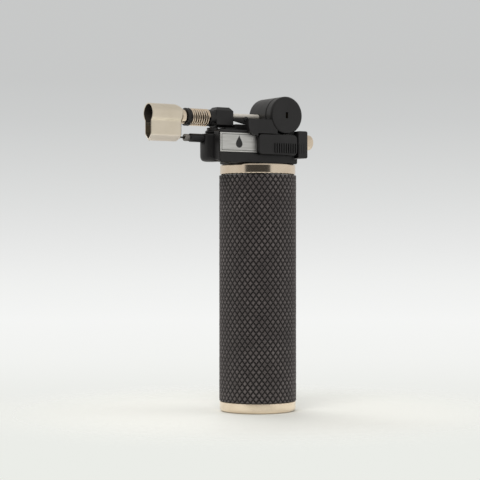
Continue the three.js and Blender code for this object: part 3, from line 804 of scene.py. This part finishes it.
def springTree():
    numbers = {
        "Turns": 8.5, "Wire": 0.0004, "Coil": 0.0037, "Length": 0.012, "Steps": 28, "Sides": 10,
        "Finish": finishes["spring_steel"],
    }
    tree, i = newTree("woundSpring", numbers)
    turns, wire, coil, length = (i.output(n) for n in ("Turns", "Wire", "Coil", "Length"))
    line = i.node("GeometryNodeCurvePrimitiveLine")
    fine = i.node("GeometryNodeResampleCurve", {"mode": "COUNT"}, {
        "Curve": line, "Count": turns * i.output("Steps")})
    share = i.node("GeometryNodeSplineParameter", out="Factor")
    wound = share * turns
    first = wound.maths("MINIMUM", wound, 1)
    last = wound.maths("MAXIMUM", wound - (turns - 1), 0)
    middle = wound - first - last
    pitch = (length - 4 * wire) / (turns - 2)
    along = (first + last) * (2 * wire) + middle * pitch - length * 0.5
    turn = wound * (2 * math.pi)
    place = vectorOf(i, coil * turn.maths("COSINE", turn), coil * turn.maths("SINE", turn), along)
    path = i.node("GeometryNodeSetPosition", {}, {"Geometry": fine, "Position": place})
    section = i.node("GeometryNodeCurvePrimitiveCircle", {}, {
        "Resolution": i.output("Sides"), "Radius": wire})
    body = i.node("GeometryNodeCurveToMesh", {}, {
        "Curve": path, "Profile Curve": section, "Fill Caps": True})
    endTree(i, body)
    return tree


def makeSprings():
    tree = springTree()
    for node in springTurns:
        finish = "polished_nickel" if node == "air_spring" else "spring_steel"
        low, high = boxOf(node)
        size = [b - a for a, b in zip(low, high)]
        wire = springWire[node]
        upright = node == "fill_valve_spring"
        length = (size[2] if upright else size[0]) - 2 * wire
        coil = size[1] / 2 - wire
        piece = newPiece(node.title().replace("_", "") + "Wire", [(0, 0, 0)], [])
        grown(piece, tree, {
            "Turns": springTurns[node], "Wire": wire * mm, "Coil": coil * mm, "Length": length * mm,
            "Finish": finishes[finish]})
        centre = [v * mm for v in middleOf(node)]
        for vertex in piece.data.vertices:
            x, y, z = vertex.co
            offset = (x, y, z) if upright else (z, x, y)
            vertex.co = [a + b for a, b in zip(centre, offset)]
        if not upright:
            tidyFaces(piece)
        smoothed(piece, 60)
        finished(piece, finish, "torch", node)
        if node in springPress:
            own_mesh(piece)
    print("springs made")


# burner, holder and air collar

burnerShape = {"bore": 1.5, "barrel": 2.3, "clear": 2.6, "tubeBore": 0.6, "tubeClear": 1.55,
               "collarPort": 0.7, "collarBand": 0.6, "collarGroove": 0.2, "nozzleBore": 1.4,
               "nozzleStep": -47.8, "jetEnd": -18,
               "collarEdge": 0.25, "holderEdge": 0.35, "nozzleLip": 0.3, "neckEdge": 0.3,
               "bossLong": 2.9, "bossRadius": 3.8}


def makeBurner():
    look = burnerShape
    clear = look["clear"]
    centre = middleOf("burner_barrel")
    low, high = boxOf("burner_barrel")
    # the barrel takes the dark steel finish: partly a blackened tube, partly painted shade between the air
    # spring's coils
    finished(turned("burnerBarrel", pipe(look["bore"], look["barrel"], low[0], high[0]), "X", centre, 0.1),
             "darkened_steel", "torch", "burner_barrel")
    low, high = boxOf("air_collar")
    band = look["collarBand"]
    groove = high[1] - look["collarGroove"]
    collar = turned("airCollar", [
        (clear, low[0]), (high[1], low[0]), (high[1], low[0] + band), (groove, low[0] + band + 0.1),
        (groove, high[0] - band - 0.1), (high[1], high[0] - band), (high[1], high[0]), (clear, high[0]),
    ], "X", centre, look["collarEdge"])
    middleX = (low[0] + high[0]) / 2
    ports = [cutRod("Z", (middleX, 0, 0), look["collarPort"], centre[2] - 6, centre[2] + 6, 32)]
    finished(smoothed(carved(collar, ports)), "moulded_black", "air_control", "air_collar")
    low, high = boxOf("guard_neck_ring")
    finished(turned("guardNeckRing", pipe(clear, high[1], low[0], high[0]), "X", centre, 0.4),
             "polished_nickel", "torch", "guard_neck_ring")
    low, high = boxOf("burner_nozzle")
    nozzle = turned("burnerNozzle", [
        (look["nozzleBore"], low[0]), (clear, low[0]), (high[1], low[0] + 0.5), (high[1], high[0]),
        (clear, high[0]), (clear, look["nozzleStep"]), (look["nozzleBore"], look["nozzleStep"]),
    ], "X", centre, look["nozzleLip"], 64)
    finished(nozzle, "spring_steel", "torch", "burner_nozzle")
    low, high = boxOf("holder_neck")
    neckX = (low[0] + high[0]) / 2
    finished(turned("holderNeck", [
        (0, low[2]), (3.2, low[2]), (3.4, low[2] + 0.3), (3.4, low[2] + 0.9), (2.6, low[2] + 1.4),
        (2.6, high[2]), (0, high[2]),
    ], "Z", (neckX, 0, 0), look["neckEdge"], 64), "moulded_black", "torch", "holder_neck")
    finished(makeHolder(centre[2]), "moulded_black", "torch", "burner_holder")
    low, high = boxOf("gas_tube")
    tubeWall = pipe(look["tubeBore"], high[1], low[0], high[0])
    tube = turned("gasTube", tubeWall, "X", middleOf("gas_tube"), 0.1, 48)
    finished(tube, "dull_nickel", "torch", "gas_tube", slot="polished_nickel")
    print("burner made")


def makeHolder(axisZ):
    low, high = boxOf("burner_holder")
    w, bottom, top = high[1], low[2], high[2]
    front, rear = low[0] + burnerShape["bossLong"], high[0]
    section = [
        (-w + 1, bottom), (w - 1, bottom), (w, bottom + 1), (w, top - 1.6), (w - 1.6, top), (-w + 1.6, top),
        (-w, top - 1.6), (-w, bottom + 1),
    ]
    side = [
        (front, bottom - 1), (rear, bottom - 1), (rear, top - 1.8), (rear - 1.4, top + 0.1),
        (front + 1.2, top + 0.1), (front, top - 1.4),
    ]
    bar = prism("burnerHolder", section, "X", front, rear)
    carved(bar, [prism("cutter", side, "Y", -w - 1, w + 1)], "INTERSECT")
    bevelled(bar, burnerShape["holderEdge"], 3)
    boss = turned("cutter", disc(burnerShape["bossRadius"], low[0], front + 1), "X", (0, 0, axisZ), 0.4, 96)
    carved(bar, [boss], "UNION")
    jetEnd = burnerShape["jetEnd"]
    holes = [cutRod("X", (0, 0, axisZ), burnerShape["clear"], low[0] - 1, jetEnd),
             cutRod("X", middleOf("gas_tube"), burnerShape["tubeClear"], jetEnd - 1, rear + 1)]
    return smoothed(carved(bar, holes))


# electrode and its column

columnShape = {"edge": 0.4, "sleeveBore": 1.55, "insulator": 1.25, "pinBore": 0.7}


def makeElectrode():
    low, high = boxOf("front_column")
    x = (low[0] + high[0]) / 2
    radius = high[1]
    body = turned("frontColumn", [
        (0, low[2]), (radius - 2, low[2]), (radius - 0.9, low[2] + 0.4), (radius - 0.3, low[2] + 1.1),
        (radius, low[2] + 2.2), (radius, high[2] - 0.6), (radius - 0.6, high[2]), (0, high[2]),
    ], "Z", (x, 0, 0), columnShape["edge"], 96)
    centre = middleOf("electrode_sleeve")
    sleeve = boxOf("electrode_sleeve")
    bores = [cutRod("X", (0, 0, centre[2]), sleeve[1][1] + 0.3, x - radius - 1, x - 0.3),
             block("cutter", (x + 1.1, -1, 122.4), (x + radius + 1, 1, centre[2] + 1))]
    finished(smoothed(carved(body, bores)), "moulded_black", "torch", "front_column")
    low, high = sleeve
    bore, thin, pinBore = (columnShape[key] for key in ("sleeveBore", "insulator", "pinBore"))
    finished(turned("electrodeSleeve", [
        (bore, low[0]), (high[1] - 0.5, low[0]), (high[1], low[0] + 0.6), (high[1], high[0]), (bore, high[0]),
    ], "X", centre, 0.25, 64), "moulded_black", "torch", "electrode_sleeve")
    low, high = boxOf("electrode_insulator")
    tipBack = sleeve[0][0] - 0.3
    finished(turned("electrodeInsulator", [
        (pinBore, low[0]), (high[1], low[0]), (high[1], tipBack), (thin, tipBack), (thin, high[0]),
        (pinBore, high[0]),
    ], "X", centre, 0.3, 48), "ceramic", "torch", "electrode_insulator")
    print("electrode made")


# nozzle guard: a formed sheet box, drawn as rings from the mouth inwards and round the back

guardShape = {
    "round": 4.55, "channel": 3.0, "waistBend": 1.5, "vBend": 0.9, "vTall": 2.6, "sheet": 0.5,
    "rearBend": 0.8, "lip": 0.12, "roofSlope": 2.3, "footSlope": 1.3, "footIn": 1.1, "pinHole": 1.0,
}


# right half of the section, from the tip of the V up to the crown, moved inwards by inset
def guardHalf(inset, axisZ, vTip, vTop):
    crown = guardShape["round"] - inset
    side = guardShape["channel"] - inset
    bend = guardShape["waistBend"] + inset
    bendY = side + bend
    bendZ = axisZ - math.sqrt((crown + bend) ** 2 - bendY ** 2)
    tip = vTip + 1.3 * inset
    corner = vTop + 0.4 * inset
    reach = guardShape["vBend"]
    points = [(0, tip)]
    slope = math.atan2(corner - tip, side)
    points += [(side * t, tip + (corner - tip) * t) for t in (0.1, 0.4)]
    start = Vector((side - reach * math.cos(slope), corner - reach * math.sin(slope)))
    end = Vector((side, corner + reach))
    for step in range(9):
        t = step / 8
        spot = start * (1 - t) ** 2 + Vector((side, corner)) * 2 * t * (1 - t) + end * t ** 2
        points.append(tuple(spot))
    points += [(side, end.y + (bendZ - end.y) * t) for t in (0.33, 0.67)]
    swing = math.acos(bendY / (crown + bend))
    for step in range(9):
        turn = math.pi - swing * step / 8
        points.append((bendY + bend * math.cos(turn), bendZ + bend * math.sin(turn)))
    waist = -math.acos(bendY / (crown + bend))
    for step in range(1, 37):
        turn = waist + (math.pi / 2 - waist) * step / 36
        points.append((crown * math.cos(turn), axisZ + crown * math.sin(turn)))
    points[-1] = (0, axisZ + crown)
    return points


def makeGuard():
    low, high = boxOf("nozzle_guard")
    axisZ = high[2] - guardShape["round"]
    vTip, vTop = low[2], low[2] + guardShape["vTall"]
    mouth, rear = low[0], high[0]
    crownZ = high[2] + 0.2
    roofSlope, footSlope = guardShape["roofSlope"], guardShape["footSlope"]

    def rearAt(z):
        top = max(0, z - (crownZ - roofSlope)) / roofSlope
        bottom = max(0, vTip + footSlope - z) / footSlope
        return rear - roofSlope * top - guardShape["footIn"] * bottom

    def ringOf(inset, xOf):
        half = guardHalf(inset, axisZ, vTip, vTop)
        right = [(xOf(z), -y, z) for y, z in half]
        left = [(xOf(z), y, z) for y, z in half[-2:0:-1]]
        return right + left

    bend, sheet, lip = guardShape["rearBend"], guardShape["sheet"], guardShape["lip"]
    rings = []
    for step in range(5):  # outer back bend
        turn = math.pi / 2 * (1 - step / 4)
        inset = bend * (1 - math.cos(turn))
        out = bend * (1 - math.sin(turn))
        rings.append(ringOf(inset, lambda z, o=out: rearAt(z) - o))
    rings.append(ringOf(0, lambda z: mouth + lip))
    rings.append(ringOf(lip, lambda z: mouth))
    rings.append(ringOf(sheet - lip, lambda z: mouth))
    rings.append(ringOf(sheet, lambda z: mouth + lip))
    rings.append(ringOf(sheet, lambda z: rearAt(z) - sheet - 0.5))
    rings.append(ringOf(sheet + 0.4, lambda z: rearAt(z) - sheet))
    count = len(rings[0])
    corners = [spot for ring in rings for spot in ring]
    faces = []
    for level in range(len(rings) - 1):
        for i in range(count):
            j = (i + 1) % count
            here, after = level * count, (level + 1) * count
            faces.append([here + i, here + j, after + j, after + i])
    for level in (0, len(rings) - 1):  # back walls, as strips from side to side
        base = level * count
        half = count // 2
        for i in range(half):
            strip = [base + i, base + i + 1, base + (count - i - 1) % count, base + (count - i) % count]
            faces.append(list(dict.fromkeys(strip)))
    piece = newPiece("nozzleGuard", corners, faces)
    tidyFaces(piece)
    hole = cutRod("X", middleOf("burner_barrel"), burnerShape["clear"], rear - 3, rear + 1)
    pinHole = cutRod("X", middleOf("electrode_sleeve"), guardShape["pinHole"], rear - 3, rear + 1, 32)
    smoothed(carved(piece, [hole, pinHole]))
    piece.data.materials.clear()
    piece.data.materials.append(finishes["satin_nickel"])
    piece.data.materials.append(finishes["guard_inside"])
    for face in piece.data.polygons:
        towardAxis = Vector((0, -face.center.y / mm, axisZ - face.center.z / mm))
        inside = face.normal.dot(towardAxis) > 0.3 or face.normal.x < -0.9
        face.material_index = 1 if inside and face.center.x / mm > mouth + lip / 2 else 0
    finished(piece, "satin_nickel", "torch", "nozzle_guard", keepSlots=True)
    print("guard made")


# gas valve: drum, knob and its plug

valveShape = {
    "edge": 0.35, "knobEdge": 0.45, "slotWide": 1.3, "slotTall": 2.8, "slotDeep": 1.6,
    "plug": 2.4, "plugHole": 2.7, "spindleHole": 1.9,
}


def makeValve():
    low, high = boxOf("valve_housing")
    x, _, z = middleOf("valve_housing")
    radius = (high[2] - low[2]) / 2
    centre = (x, 0, z)
    plugHole, spindleHole = valveShape["plugHole"], valveShape["spindleHole"]
    housing = turned("valveHousing", [
        (0, low[1]), (radius - 0.3, low[1]), (radius, low[1] + 0.3), (radius, high[1] - 0.7),
        (radius - 0.7, high[1]), (plugHole, high[1]), (plugHole, high[1] - 2), (0, high[1] - 2),
    ], "Y", centre, valveShape["edge"], 128)
    tubeHole = cutRod("X", middleOf("gas_tube"), boxOf("gas_tube")[1][1] + 0.3, x - radius - 1, x)
    finished(smoothed(carved(housing, [tubeHole])), "moulded_black", "torch", "valve_housing")
    low, high = boxOf("gas_knob")
    knob = turned("gasKnob", [
        (0, low[1]), (radius - 0.6, low[1]), (radius, low[1] + 0.6), (radius, high[1] - 0.3),
        (radius - 0.3, high[1]), (spindleHole, high[1]), (spindleHole, low[1] + 1.6), (0, low[1] + 1.6),
    ], "Y", centre, valveShape["knobEdge"], 128)
    wide, tall, deep = valveShape["slotWide"] / 2, valveShape["slotTall"] / 2, valveShape["slotDeep"]
    slot = block("cutter", (x - wide, low[1] - 1, z - tall), (x + wide, low[1] + deep, z + tall))
    finished(smoothed(carved(knob, [slot])), "moulded_black", "gas_control", "gas_knob")
    low, high = boxOf("valve_plug")
    plug = turned("valvePlug", disc(valveShape["plug"], low[1], high[1]), "Y", centre, 0.25, 64)
    cut = block("cutter", (x - 1.8, high[1] - 0.6, z - 0.3), (x + 1.8, high[1] + 1, z + 0.3))
    finished(smoothed(carved(plug, [cut])), "brass", "torch", "valve_plug")
    print("valve made")


# deck, cheek and tube arm on the roof

roofShape = {
    "cheekCorner": 5.2, "edge": 0.4, "cheekBack": -10.2, "bridgeLeft": -1.5,
    "bridgeBack": -10.3, "bridgeFoot": 130.3, "gap": 0.3, "stepX": -15,
    "stepZ": 131.2, "armNear": -2.6, "armFar": -1.0, "pinX": -7.9, "pinZ": 135.5, "pinRadius": 1.3,
}


def makeRoof():
    low, high = boxOf("valve_cheek")
    drum = middleOf("valve_housing")
    drumRadius = (boxOf("valve_housing")[1][2] - boxOf("valve_housing")[0][2]) / 2
    coverFront = boxOf("igniter_cover")[0][0]
    coverTop = boxOf("igniter_cover")[1][2]
    left, right, top, bottom = low[0], high[0], high[2], low[2]
    corner = roofShape["cheekCorner"]
    face = [(left, top)]
    for step in range(13):
        turn = math.pi + math.pi / 2 * step / 12
        face.append((left + corner + corner * math.cos(turn), bottom + corner + corner * math.sin(turn)))
    look = roofShape
    gap = look["gap"]
    face += [
        (coverFront - gap, bottom), (coverFront - gap, coverTop + gap),
        (right, coverTop + gap), (right, top),
    ]
    plate = prism("valveCheek", face, "Y", low[1], look["cheekBack"], 0, look["edge"])
    bridgeLow = (look["bridgeLeft"], look["bridgeBack"], look["bridgeFoot"])
    bridge = block("cutter", bridgeLow, (right, high[1], top), 0.3)
    carved(plate, [bridge], "UNION")
    tubeClear = burnerShape["tubeClear"]
    carved(plate, [cutRod("Y", (drum[0], 0, drum[2]), drumRadius + gap, -20, 20, 128),
                   cutRod("X", middleOf("gas_tube"), tubeClear, -20, 12)])
    finished(smoothed(plate), "moulded_black", "torch", "valve_cheek")
    low, high = boxOf("top_deck")
    stepX, stepZ = look["stepX"], look["stepZ"]
    outline = [
        (low[0], low[2]), (high[0], low[2]), (high[0], high[2]),
        (stepX, high[2]), (stepX, stepZ), (low[0], stepZ),
    ]
    deck = prism("topDeck", outline, "Y", low[1], high[1], 0.3, 0.3)
    finished(smoothed(deck), "moulded_black", "torch", "top_deck")
    low, high = boxOf("tube_arm")
    side = [(low[0], 134.9), (-8.6, 133.4), (high[0], low[2]), (high[0], 135.7), (low[0], 135.7)]
    arm = prism("tubeArm", side, "Y", look["armNear"], look["armFar"], 0.3, 0.2)
    pinWall = disc(look["pinRadius"], low[1], -1.6)
    pin = turned("cutter", pinWall, "Y", (look["pinX"], 0, look["pinZ"]), 0.3, 48)
    carved(arm, [pin], "UNION")
    carved(arm, [cutRod("X", middleOf("gas_tube"), tubeClear, -20, 12)])
    finished(smoothed(arm), "moulded_black", "torch", "tube_arm")
    print("roof made")


# igniter: ribbed cover and end cap, push button

ribShape = {"Wide": 0.6 * mm, "Tall": 4.5 * mm, "Proud": 0.45 * mm, "Pitch": 1.25 * mm}
igniterShape = {
    "coverCorner": 2.2, "capCorner": 0.9, "edge": 0.4,
    "hollowLow": (-6.3, -11.8, 120.4), "hollowRear": 12.6, "hollowTop": 127,
    "coverRibs": 10, "coverRibFrom": 1.5 * mm, "capRibs": 3, "capRibFrom": 14.9 * mm, "capRibProud": 0.3 * mm,
}


def ribTree():
    numbers = {
        **ribShape, "Count": 8, "From X": 0.0015, "Face Y": -0.0126, "Middle Z": 0.12225,
        "Finish": finishes["moulded_black"],
    }
    tree, i = newTree("gripRibs", numbers)
    wide, tall, proud, pitch = (i.output(n) for n in ribShape)
    start = vectorOf(i, i.output("From X") + wide * 0.5, i.output("Face Y"), i.output("Middle Z"))
    line = i.node("GeometryNodeMeshLine", {}, {
        "Count": i.output("Count"), "Start Location": start, "Offset": vectorOf(i, pitch, 0, 0)})
    bar = i.node("GeometryNodeCurvePrimitiveQuadrilateral", {}, {"Width": wide, "Height": tall})
    soft = i.node("GeometryNodeFilletCurve", {"mode": "POLY"}, {
        "Curve": bar, "Count": 3, "Radius": wide * 0.45})
    rise = i.node("GeometryNodeCurvePrimitiveLine", {}, {"End": vectorOf(i, 0, 0, proud * 2)})
    body = i.node("GeometryNodeCurveToMesh", {}, {"Curve": rise, "Profile Curve": soft, "Fill Caps": True})
    facing = i.node("FunctionNodeEulerToRotation", {}, {0: (math.pi / 2, 0.0, 0.0)})
    low = shifted(i, body, 0, 0, proud * -1.0)
    ribs = i.node("GeometryNodeInstanceOnPoints", {}, {"Points": line, "Instance": low, "Rotation": facing})
    real = i.node("GeometryNodeRealizeInstances", {}, {"Geometry": ribs})
    flat = i.node("GeometryNodeSetShadeSmooth", {}, {"Geometry": real, "Shade Smooth": False})
    both = joined(i, i.output("Geometry"), flat)
    joinOutput(i, i.node("GeometryNodeSetMaterial", {}, {"Geometry": both, "Material": i.output("Finish")}))
    return tree


def makeIgniter():
    tree = ribTree()
    look = igniterShape
    plastic = finishes["moulded_black"]
    low, high = boxOf("igniter_cover")
    face = sideOf(low, high)
    cover = prism("igniterCover", face, "Y", low[1] + 0.4, high[1], look["coverCorner"], look["edge"])
    hollowHigh = (look["hollowRear"], high[1] + 1, look["hollowTop"])
    carved(cover, [block("cutter", look["hollowLow"], hollowHigh)])
    smoothed(cover)
    grown(cover, tree, {
        "Count": look["coverRibs"], "From X": look["coverRibFrom"], "Face Y": (low[1] + 0.4) * mm,
        "Finish": plastic})
    finished(cover, "moulded_black", "torch", "igniter_cover", keepSlots=True)
    low, high = boxOf("igniter_end_cap")
    face = sideOf(low, high)
    cap = prism("igniterEndCap", face, "Y", low[1] + 0.2, high[1], look["capCorner"], look["edge"])
    centre = middleOf("igniter_button")
    buttonRadius = boxOf("igniter_button")[1][2] - centre[2]
    carved(cap, [cutRod("X", centre, buttonRadius + 0.3, low[0] - 1, high[0] + 1, 96)])
    smoothed(cap)
    grown(cap, tree, {
        "Count": look["capRibs"], "From X": look["capRibFrom"], "Face Y": (low[1] + 0.4) * mm,
        "Proud": look["capRibProud"], "Finish": plastic})
    finished(cap, "moulded_black", "torch", "igniter_end_cap", keepSlots=True)
    low, high = boxOf("igniter_button")
    push = turned("igniterButton", [
        (0, low[0]), (buttonRadius, low[0]), (buttonRadius, high[0] - 1.4),
        (buttonRadius - 0.5, high[0] - 0.6), (buttonRadius - 1.7, high[0] - 0.15), (0, high[0]),
    ], "X", centre, 0.6, 96)
    finished(push, "polished_nickel", "push_button", "igniter_button")
    print("igniter made")


# nodes whose shape stays as it is

keptNodes = {
    "tank_aluminium": ["tank_shell"],
    "brass": ["fill_valve_stem", "fill_valve_nut", "tank_outlet_fitting", "pickup_filter", "riser_tube",
              "jet_nipple", "valve_spindle", "needle_seat", "igniter_anvil"],
    "spring_steel": ["valve_needle", "igniter_hammer"],
    "darkened_steel": ["electrode_pin"],
    "seal_rubber": ["fill_valve_gasket", "spindle_o_ring"],
    "clear_plastic": ["pickup_tube"],
    "lead_cover": ["lead_wire"],
    "moulded_black": ["igniter_plunger", "igniter_tube"],
    "ceramic": ["piezo_crystal"],
}


def finishKeptNodes():
    for finish, names in keptNodes.items():
        for name in names:
            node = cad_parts[name]
            if not node.material_slots:
                node.data.materials.append(finishes[finish])
            for slot in node.material_slots:
                slot.material = finishes[finish]


# camera, floor, lights and room

cameraPlace = {
    "distance": 0.745, "height": 0.0774, "azimuth": -32, "lens": 119.52, "shiftX": -0.0369, "shiftY": 0.0104,
}


def makeCamera():
    camera = bpy.data.objects.new("camera", bpy.data.cameras.new("camera"))
    bpy.context.scene.collection.objects.link(camera)
    turn = math.radians(cameraPlace["azimuth"])
    far = cameraPlace["distance"]
    camera.location = (far * math.sin(turn), -far * math.cos(turn), cameraPlace["height"])
    camera.rotation_euler = (math.pi / 2, 0, turn)
    camera.data.sensor_width = 36
    camera.data.lens = cameraPlace["lens"]
    camera.data.shift_x = cameraPlace["shiftX"]
    camera.data.shift_y = cameraPlace["shiftY"]
    bpy.context.scene.camera = camera


floorLook = {"near": 0.05, "far": 0.15, "radius": 1.0, "colour": colour(0.73, 0.735, 0.70)}


def makeFloor():
    count = 128
    radius = floorLook["radius"] / mm
    ring = [(radius * math.cos(2 * math.pi * i / count), radius * math.sin(2 * math.pi * i / count), 0)
            for i in range(count)]
    floor = newPiece("floor", ring, [list(range(count))])
    material = bpy.data.materials.new("paleFloor")
    material.use_nodes = True
    tree = material.node_tree
    shader = tree.nodes["Principled BSDF"]
    shader.inputs["Base Color"].default_value = floorLook["colour"]
    shader.inputs["Roughness"].default_value = 0.6
    shader.inputs["Specular IOR Level"].default_value = 0.2
    pen = Field(tree)
    place = placeOnPiece(pen)
    reach = pen.node("ShaderNodeVectorMath", {"operation": "LENGTH"}, {0: place}, "Value")
    alpha = 1 - reach.smooth(floorLook["near"], floorLook["far"])
    tree.links.new(alpha.socket, shader.inputs["Alpha"])
    floor.data.materials.append(material)


lightPlaces = {
    "keyPanel": {"at": (-0.55, -0.55, 0.85), "size": 0.7, "power": 7.5, "colour": (1.0, 0.985, 0.96)},
    "fillPanel": {"at": (0.75, -0.5, 0.45), "size": 0.8, "power": 2.5, "colour": (0.97, 0.985, 1.0)},
    "backPanel": {"at": (0.1, 0.8, 0.9), "size": 0.9, "power": 7.0, "colour": (1.0, 1.0, 1.0)},
}


def makeLights():
    for name, look in lightPlaces.items():
        lamp = bpy.data.lights.new(name, "AREA")
        lamp.shape = "SQUARE"
        lamp.size = look["size"]
        lamp.energy = look["power"]
        lamp.color = look["colour"]
        panel = bpy.data.objects.new(name, lamp)
        panel.location = look["at"]
        panel.visible_glossy = False
        aim = Vector((0, 0, 0.08)) - panel.location
        panel.rotation_euler = aim.to_track_quat("-Z", "Y").to_euler()
        bpy.context.scene.collection.objects.link(panel)


roomLook = {
    # what the eye sees behind the torch, from below the level to above it
    "backdrop": [
        (0.0, (0.83, 0.85, 0.80, 1)), (0.4347, (0.83, 0.846, 0.806, 1)), (0.4546, (0.84, 0.85, 0.82, 1)),
        (0.464, (0.888, 0.895, 0.875, 1)), (0.4765, (0.91, 0.915, 0.905, 1)), (0.489, (0.863, 0.87, 0.86, 1)),
        (0.5016, (0.79, 0.795, 0.79, 1)), (0.5141, (0.72, 0.728, 0.722, 1)),
        (0.5266, (0.66, 0.668, 0.663, 1)),
        (0.539, (0.605, 0.613, 0.61, 1)), (0.5515, (0.573, 0.58, 0.577, 1)), (1.0, (0.56, 0.57, 0.565, 1)),
    ],
    # what lights and mirrors in the metal
    "room": 0.63, "upper": 0.54, "darkBehind": 0.05, "darkHalfWidth": 39,
}


def makeRoom():
    world = bpy.data.worlds.new("room")
    world.use_nodes = True
    bpy.context.scene.world = world
    tree = world.node_tree
    tree.nodes.clear()
    pen = Field(tree)
    way = pen.node("ShaderNodeTexCoord", out="Generated")
    parts = pen.node("ShaderNodeSeparateXYZ", {}, {0: way})
    level = parts.output("Z") * 0.5 + 0.5
    seen = pen.node("ShaderNodeValToRGB", {"stops": roomLook["backdrop"]}, {"Fac": level})
    turn = math.radians(cameraPlace["azimuth"])
    flat = (parts.output("X") * math.sin(turn) - parts.output("Y") * math.cos(turn))
    across = (parts.output("X") * parts.output("X") + parts.output("Y") * parts.output("Y")).power(0.5)
    facing = flat / across.maths("MAXIMUM", across, 0.001)
    edge = math.cos(math.radians(roomLook["darkHalfWidth"]))
    behind = facing.smooth(edge - 0.03, edge + 0.03)
    nearLevel = 1 - parts.output("Z").maths("ABSOLUTE", parts.output("Z")).smooth(0.25, 0.5)
    dark = behind * nearLevel
    high = parts.output("Z").smooth(0.35, 0.8)
    plainRoom = roomLook["room"] + (roomLook["upper"] - roomLook["room"]) * high
    shade = plainRoom * (1 - dark) + roomLook["darkBehind"] * dark
    around = pen.node("ShaderNodeCombineColor", {}, {0: shade, 1: shade * 0.985, 2: shade * 0.96})
    eye = pen.node("ShaderNodeLightPath", out="Is Camera Ray")
    mixed = blendColour(pen, eye, around, seen)
    glow = pen.node("ShaderNodeBackground", {}, {"Color": mixed, "Strength": 1.0})
    end = tree.nodes.new("ShaderNodeOutputWorld")
    tree.links.new(glow.socket, end.inputs["Surface"])


makeCamera()
makeGrip()
makeTankTrim()
makeHead()
makeScrews()
makeSprings()
makeBurner()
makeElectrode()
makeGuard()
makeValve()
makeRoof()
makeIgniter()
finishKeptNodes()
makeFloor()
makeLights()
makeRoom()
bpy.context.scene.view_settings.view_transform = "Standard"
